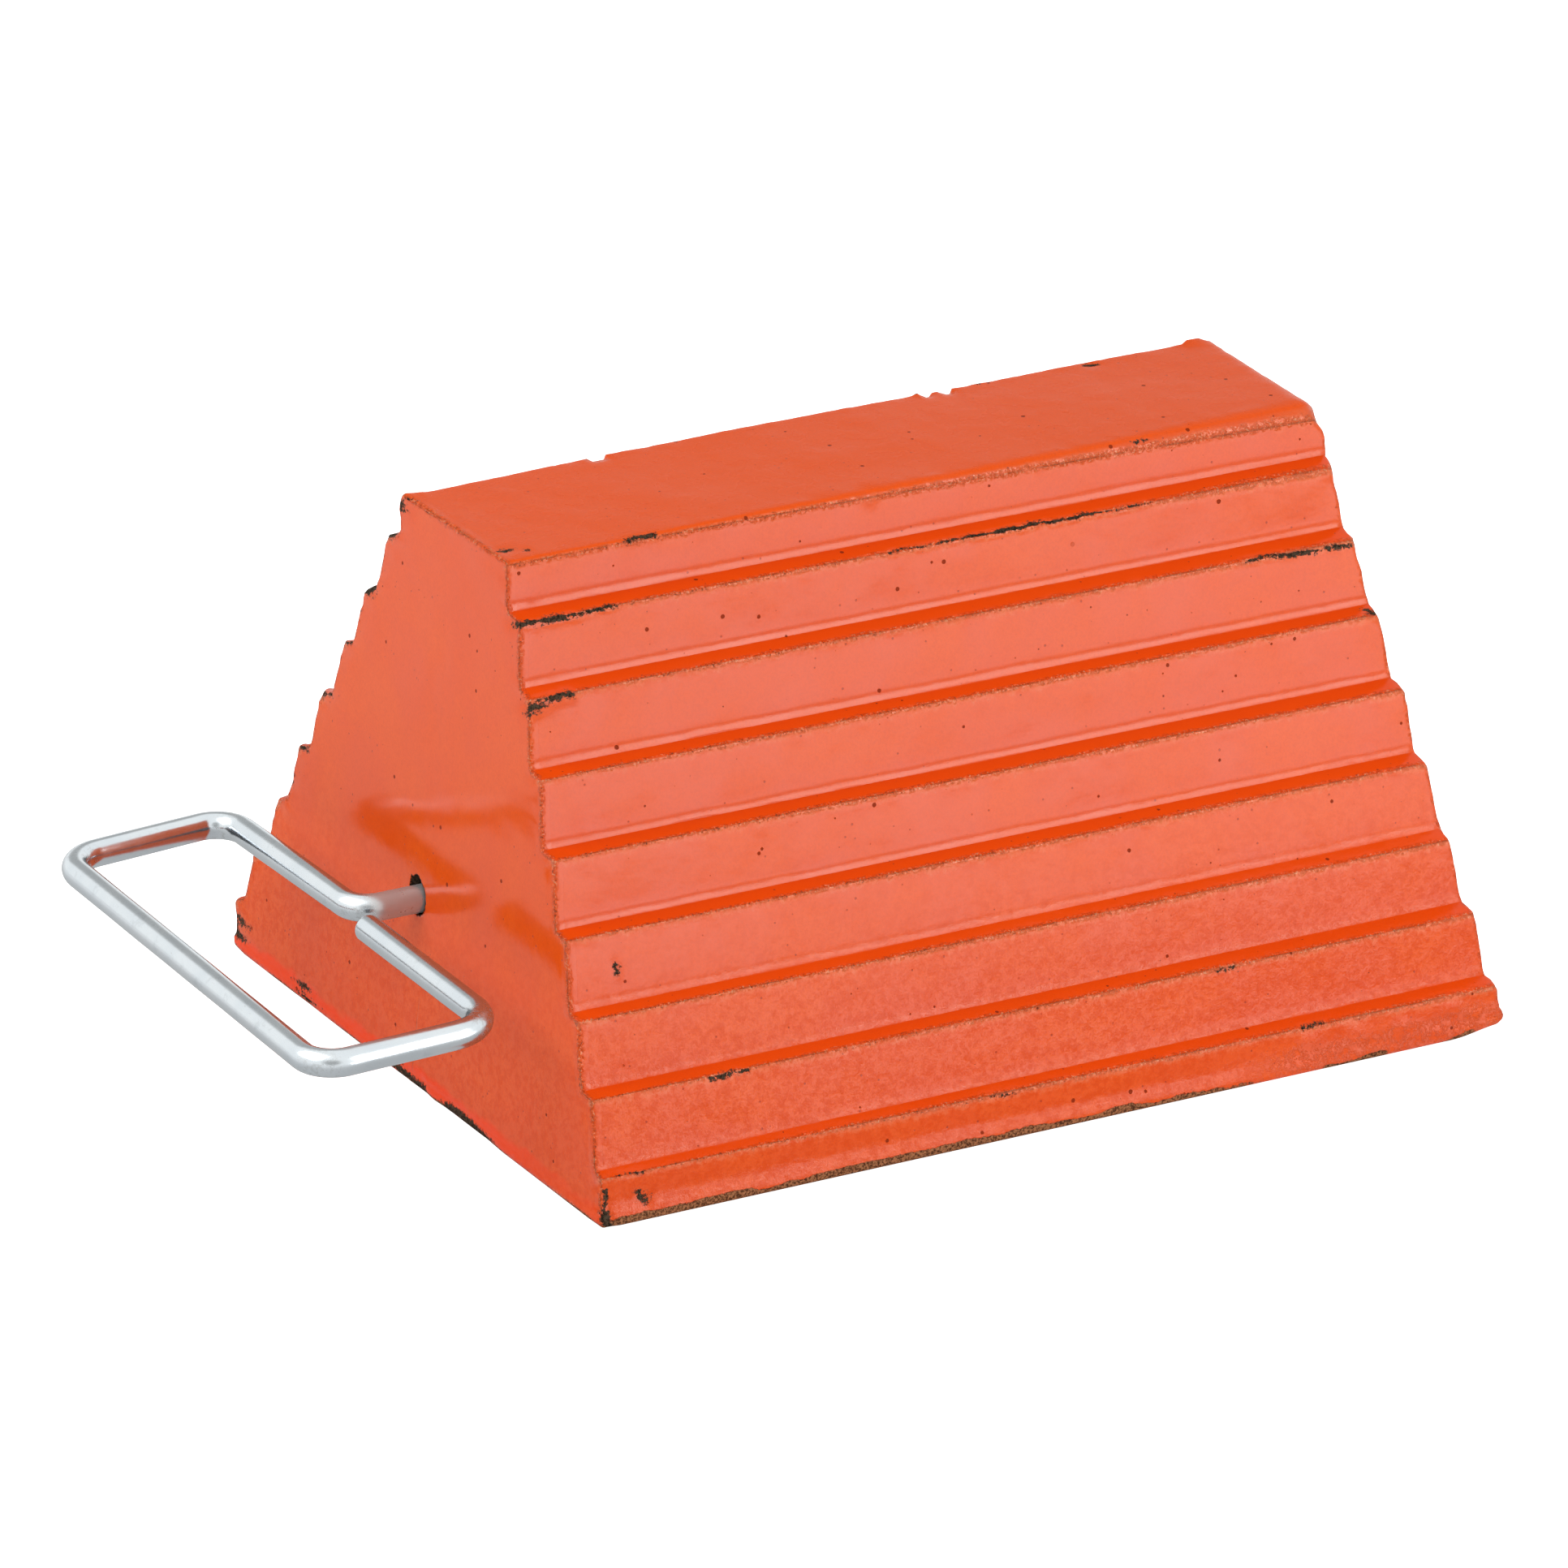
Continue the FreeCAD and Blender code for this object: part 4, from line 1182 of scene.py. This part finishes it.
# in a reflection of a reflection this painted glow is dimmed further, so only the boxes are bright
depth_2 = fm.math("GREATER_THAN", floor_lp.outputs["Glossy Depth"], 1.5)
fm.link(fm.math("MULTIPLY", fm.ramp(reach, 120.0, 520.0, 0.46, 0.80),
                fm.math("SUBTRACT", 1.0, fm.math("MULTIPLY", depth_2, 0.88))), glow.inputs[1])
pick = fm.t.nodes.new("ShaderNodeMixShader")
fm.link(floor_lp.outputs["Is Glossy Ray"], pick.inputs[0])
fm.link(fm.bsdf.outputs[0], pick.inputs[1])
fm.link(glow.outputs[0], pick.inputs[2])
fm.link(pick.outputs[0], fm.out.inputs["Surface"])
floor.data.materials.append(fm.mat)

world = bpy.data.worlds.new("studio")
bpy.context.scene.world = world
world.use_nodes = True
wt = world.node_tree
wt.nodes.clear()
w_out = wt.nodes.new("ShaderNodeOutputWorld")
bg = wt.nodes.new("ShaderNodeBackground")
bg_cam = wt.nodes.new("ShaderNodeBackground")
bg_cam.inputs[0].default_value = (1, 1, 1, 1)
bg_cam.inputs[1].default_value = 1.0
lp = wt.nodes.new("ShaderNodeLightPath")
mx = wt.nodes.new("ShaderNodeMixShader")
tc = wt.nodes.new("ShaderNodeTexCoord")
dot = wt.nodes.new("ShaderNodeVectorMath")
dot.operation = "DOT_PRODUCT"
dot.inputs[1].default_value = tuple(back)
wt.links.new(tc.outputs["Generated"], dot.inputs[0])
mr = wt.nodes.new("ShaderNodeMapRange")
mr.interpolation_type = "SMOOTHSTEP"
for key, val in (("From Min", 0.90), ("From Max", 0.985), ("To Min", 0.95), ("To Max", 0.42)):
    mr.inputs[key].default_value = val
wt.links.new(dot.outputs["Value"], mr.inputs["Value"])
# a light tent: even walls, a little brighter in mirror reflections than as a
# source, with the dark gap that the camera looks through
tent = wt.nodes.new("ShaderNodeMix")
tent.data_type = "FLOAT"
tent.inputs[2].default_value = 0.52
wt.links.new(lp.outputs["Is Glossy Ray"], tent.inputs[0])
# and an unlit panel high behind the object
panel = wt.nodes.new("ShaderNodeVectorMath")
panel.operation = "DOT_PRODUCT"
panel.inputs[1].default_value = tuple(Vector((0.25, 0.83, 0.50)).normalized())
wt.links.new(tc.outputs["Generated"], panel.inputs[0])
shade = wt.nodes.new("ShaderNodeMapRange")
shade.interpolation_type = "SMOOTHSTEP"
for key, val in (("From Min", 0.915), ("From Max", 0.975), ("To Min", 1.0), ("To Max", 0.44)):
    shade.inputs[key].default_value = val
wt.links.new(panel.outputs["Value"], shade.inputs["Value"])
both = wt.nodes.new("ShaderNodeMath")
both.operation = "MULTIPLY"
wt.links.new(mr.outputs["Result"], both.inputs[0])
wt.links.new(shade.outputs["Result"], both.inputs[1])
second = wt.nodes.new("ShaderNodeMath")
second.operation = "GREATER_THAN"
second.inputs[1].default_value = 1.5
wt.links.new(lp.outputs["Glossy Depth"], second.inputs[0])
dim = wt.nodes.new("ShaderNodeMath")
dim.operation = "MULTIPLY_ADD"
dim.inputs[1].default_value = -0.88
dim.inputs[2].default_value = 1.0
wt.links.new(second.outputs[0], dim.inputs[0])
final = wt.nodes.new("ShaderNodeMath")
final.operation = "MULTIPLY"
wt.links.new(both.outputs[0], final.inputs[0])
wt.links.new(dim.outputs[0], final.inputs[1])
wt.links.new(final.outputs[0], tent.inputs[3])
wt.links.new(tent.outputs[0], bg.inputs[1])
bg.inputs[0].default_value = (0.985, 0.99, 0.965, 1)
wt.links.new(lp.outputs["Is Camera Ray"], mx.inputs[0])
wt.links.new(bg.outputs[0], mx.inputs[1])
wt.links.new(bg_cam.outputs[0], mx.inputs[2])
wt.links.new(mx.outputs[0], w_out.inputs[0])


def softbox(name, azimuth, elevation, dist, sx, sy, watts, color=(1, 1, 1)):
    a, e = math.radians(azimuth), math.radians(elevation)
    d = Vector((math.sin(a) * math.cos(e), -math.cos(a) * math.cos(e), math.sin(e)))
    light = bpy.data.lights.new(name, "AREA")
    light.shape = "RECTANGLE"
    light.size, light.size_y, light.energy, light.color = sx, sy, watts, color
    ob = bpy.data.objects.new(name, light)
    ob.location = TARGET + d * dist
    ob.rotation_mode = "QUATERNION"
    ob.rotation_quaternion = d.to_track_quat("Z", "Y")
    ob.visible_camera = False
    bpy.context.scene.collection.objects.link(ob)
    return ob


# bright in front to the right, a low strip below it, and a soft box on the left
softbox("front_right", 31, 30, 1.30, 0.44, 0.48, 2.9, (1.0, 0.99, 0.93))
softbox("front_low", 27, 3.0, 0.76, 0.60, 0.17, 0.68)
softbox("left_soft", -95, 48, 1.60, 1.30, 1.20, 11.5)

cam_data = bpy.data.cameras.new("camera")
cam_data.sensor_width = 36.0
cam_data.lens = LENS
cam_data.clip_start, cam_data.clip_end = 0.1, 200.0
cam = bpy.data.objects.new("camera", cam_data)
cam.location = TARGET + back * DIST
cam.rotation_mode = "QUATERNION"
cam.rotation_quaternion = back.to_track_quat("Z", "Y")
bpy.context.scene.collection.objects.link(cam)
bpy.context.scene.camera = cam
bpy.context.scene.view_settings.view_transform = "Standard"
bpy.context.scene.view_settings.look = "None"
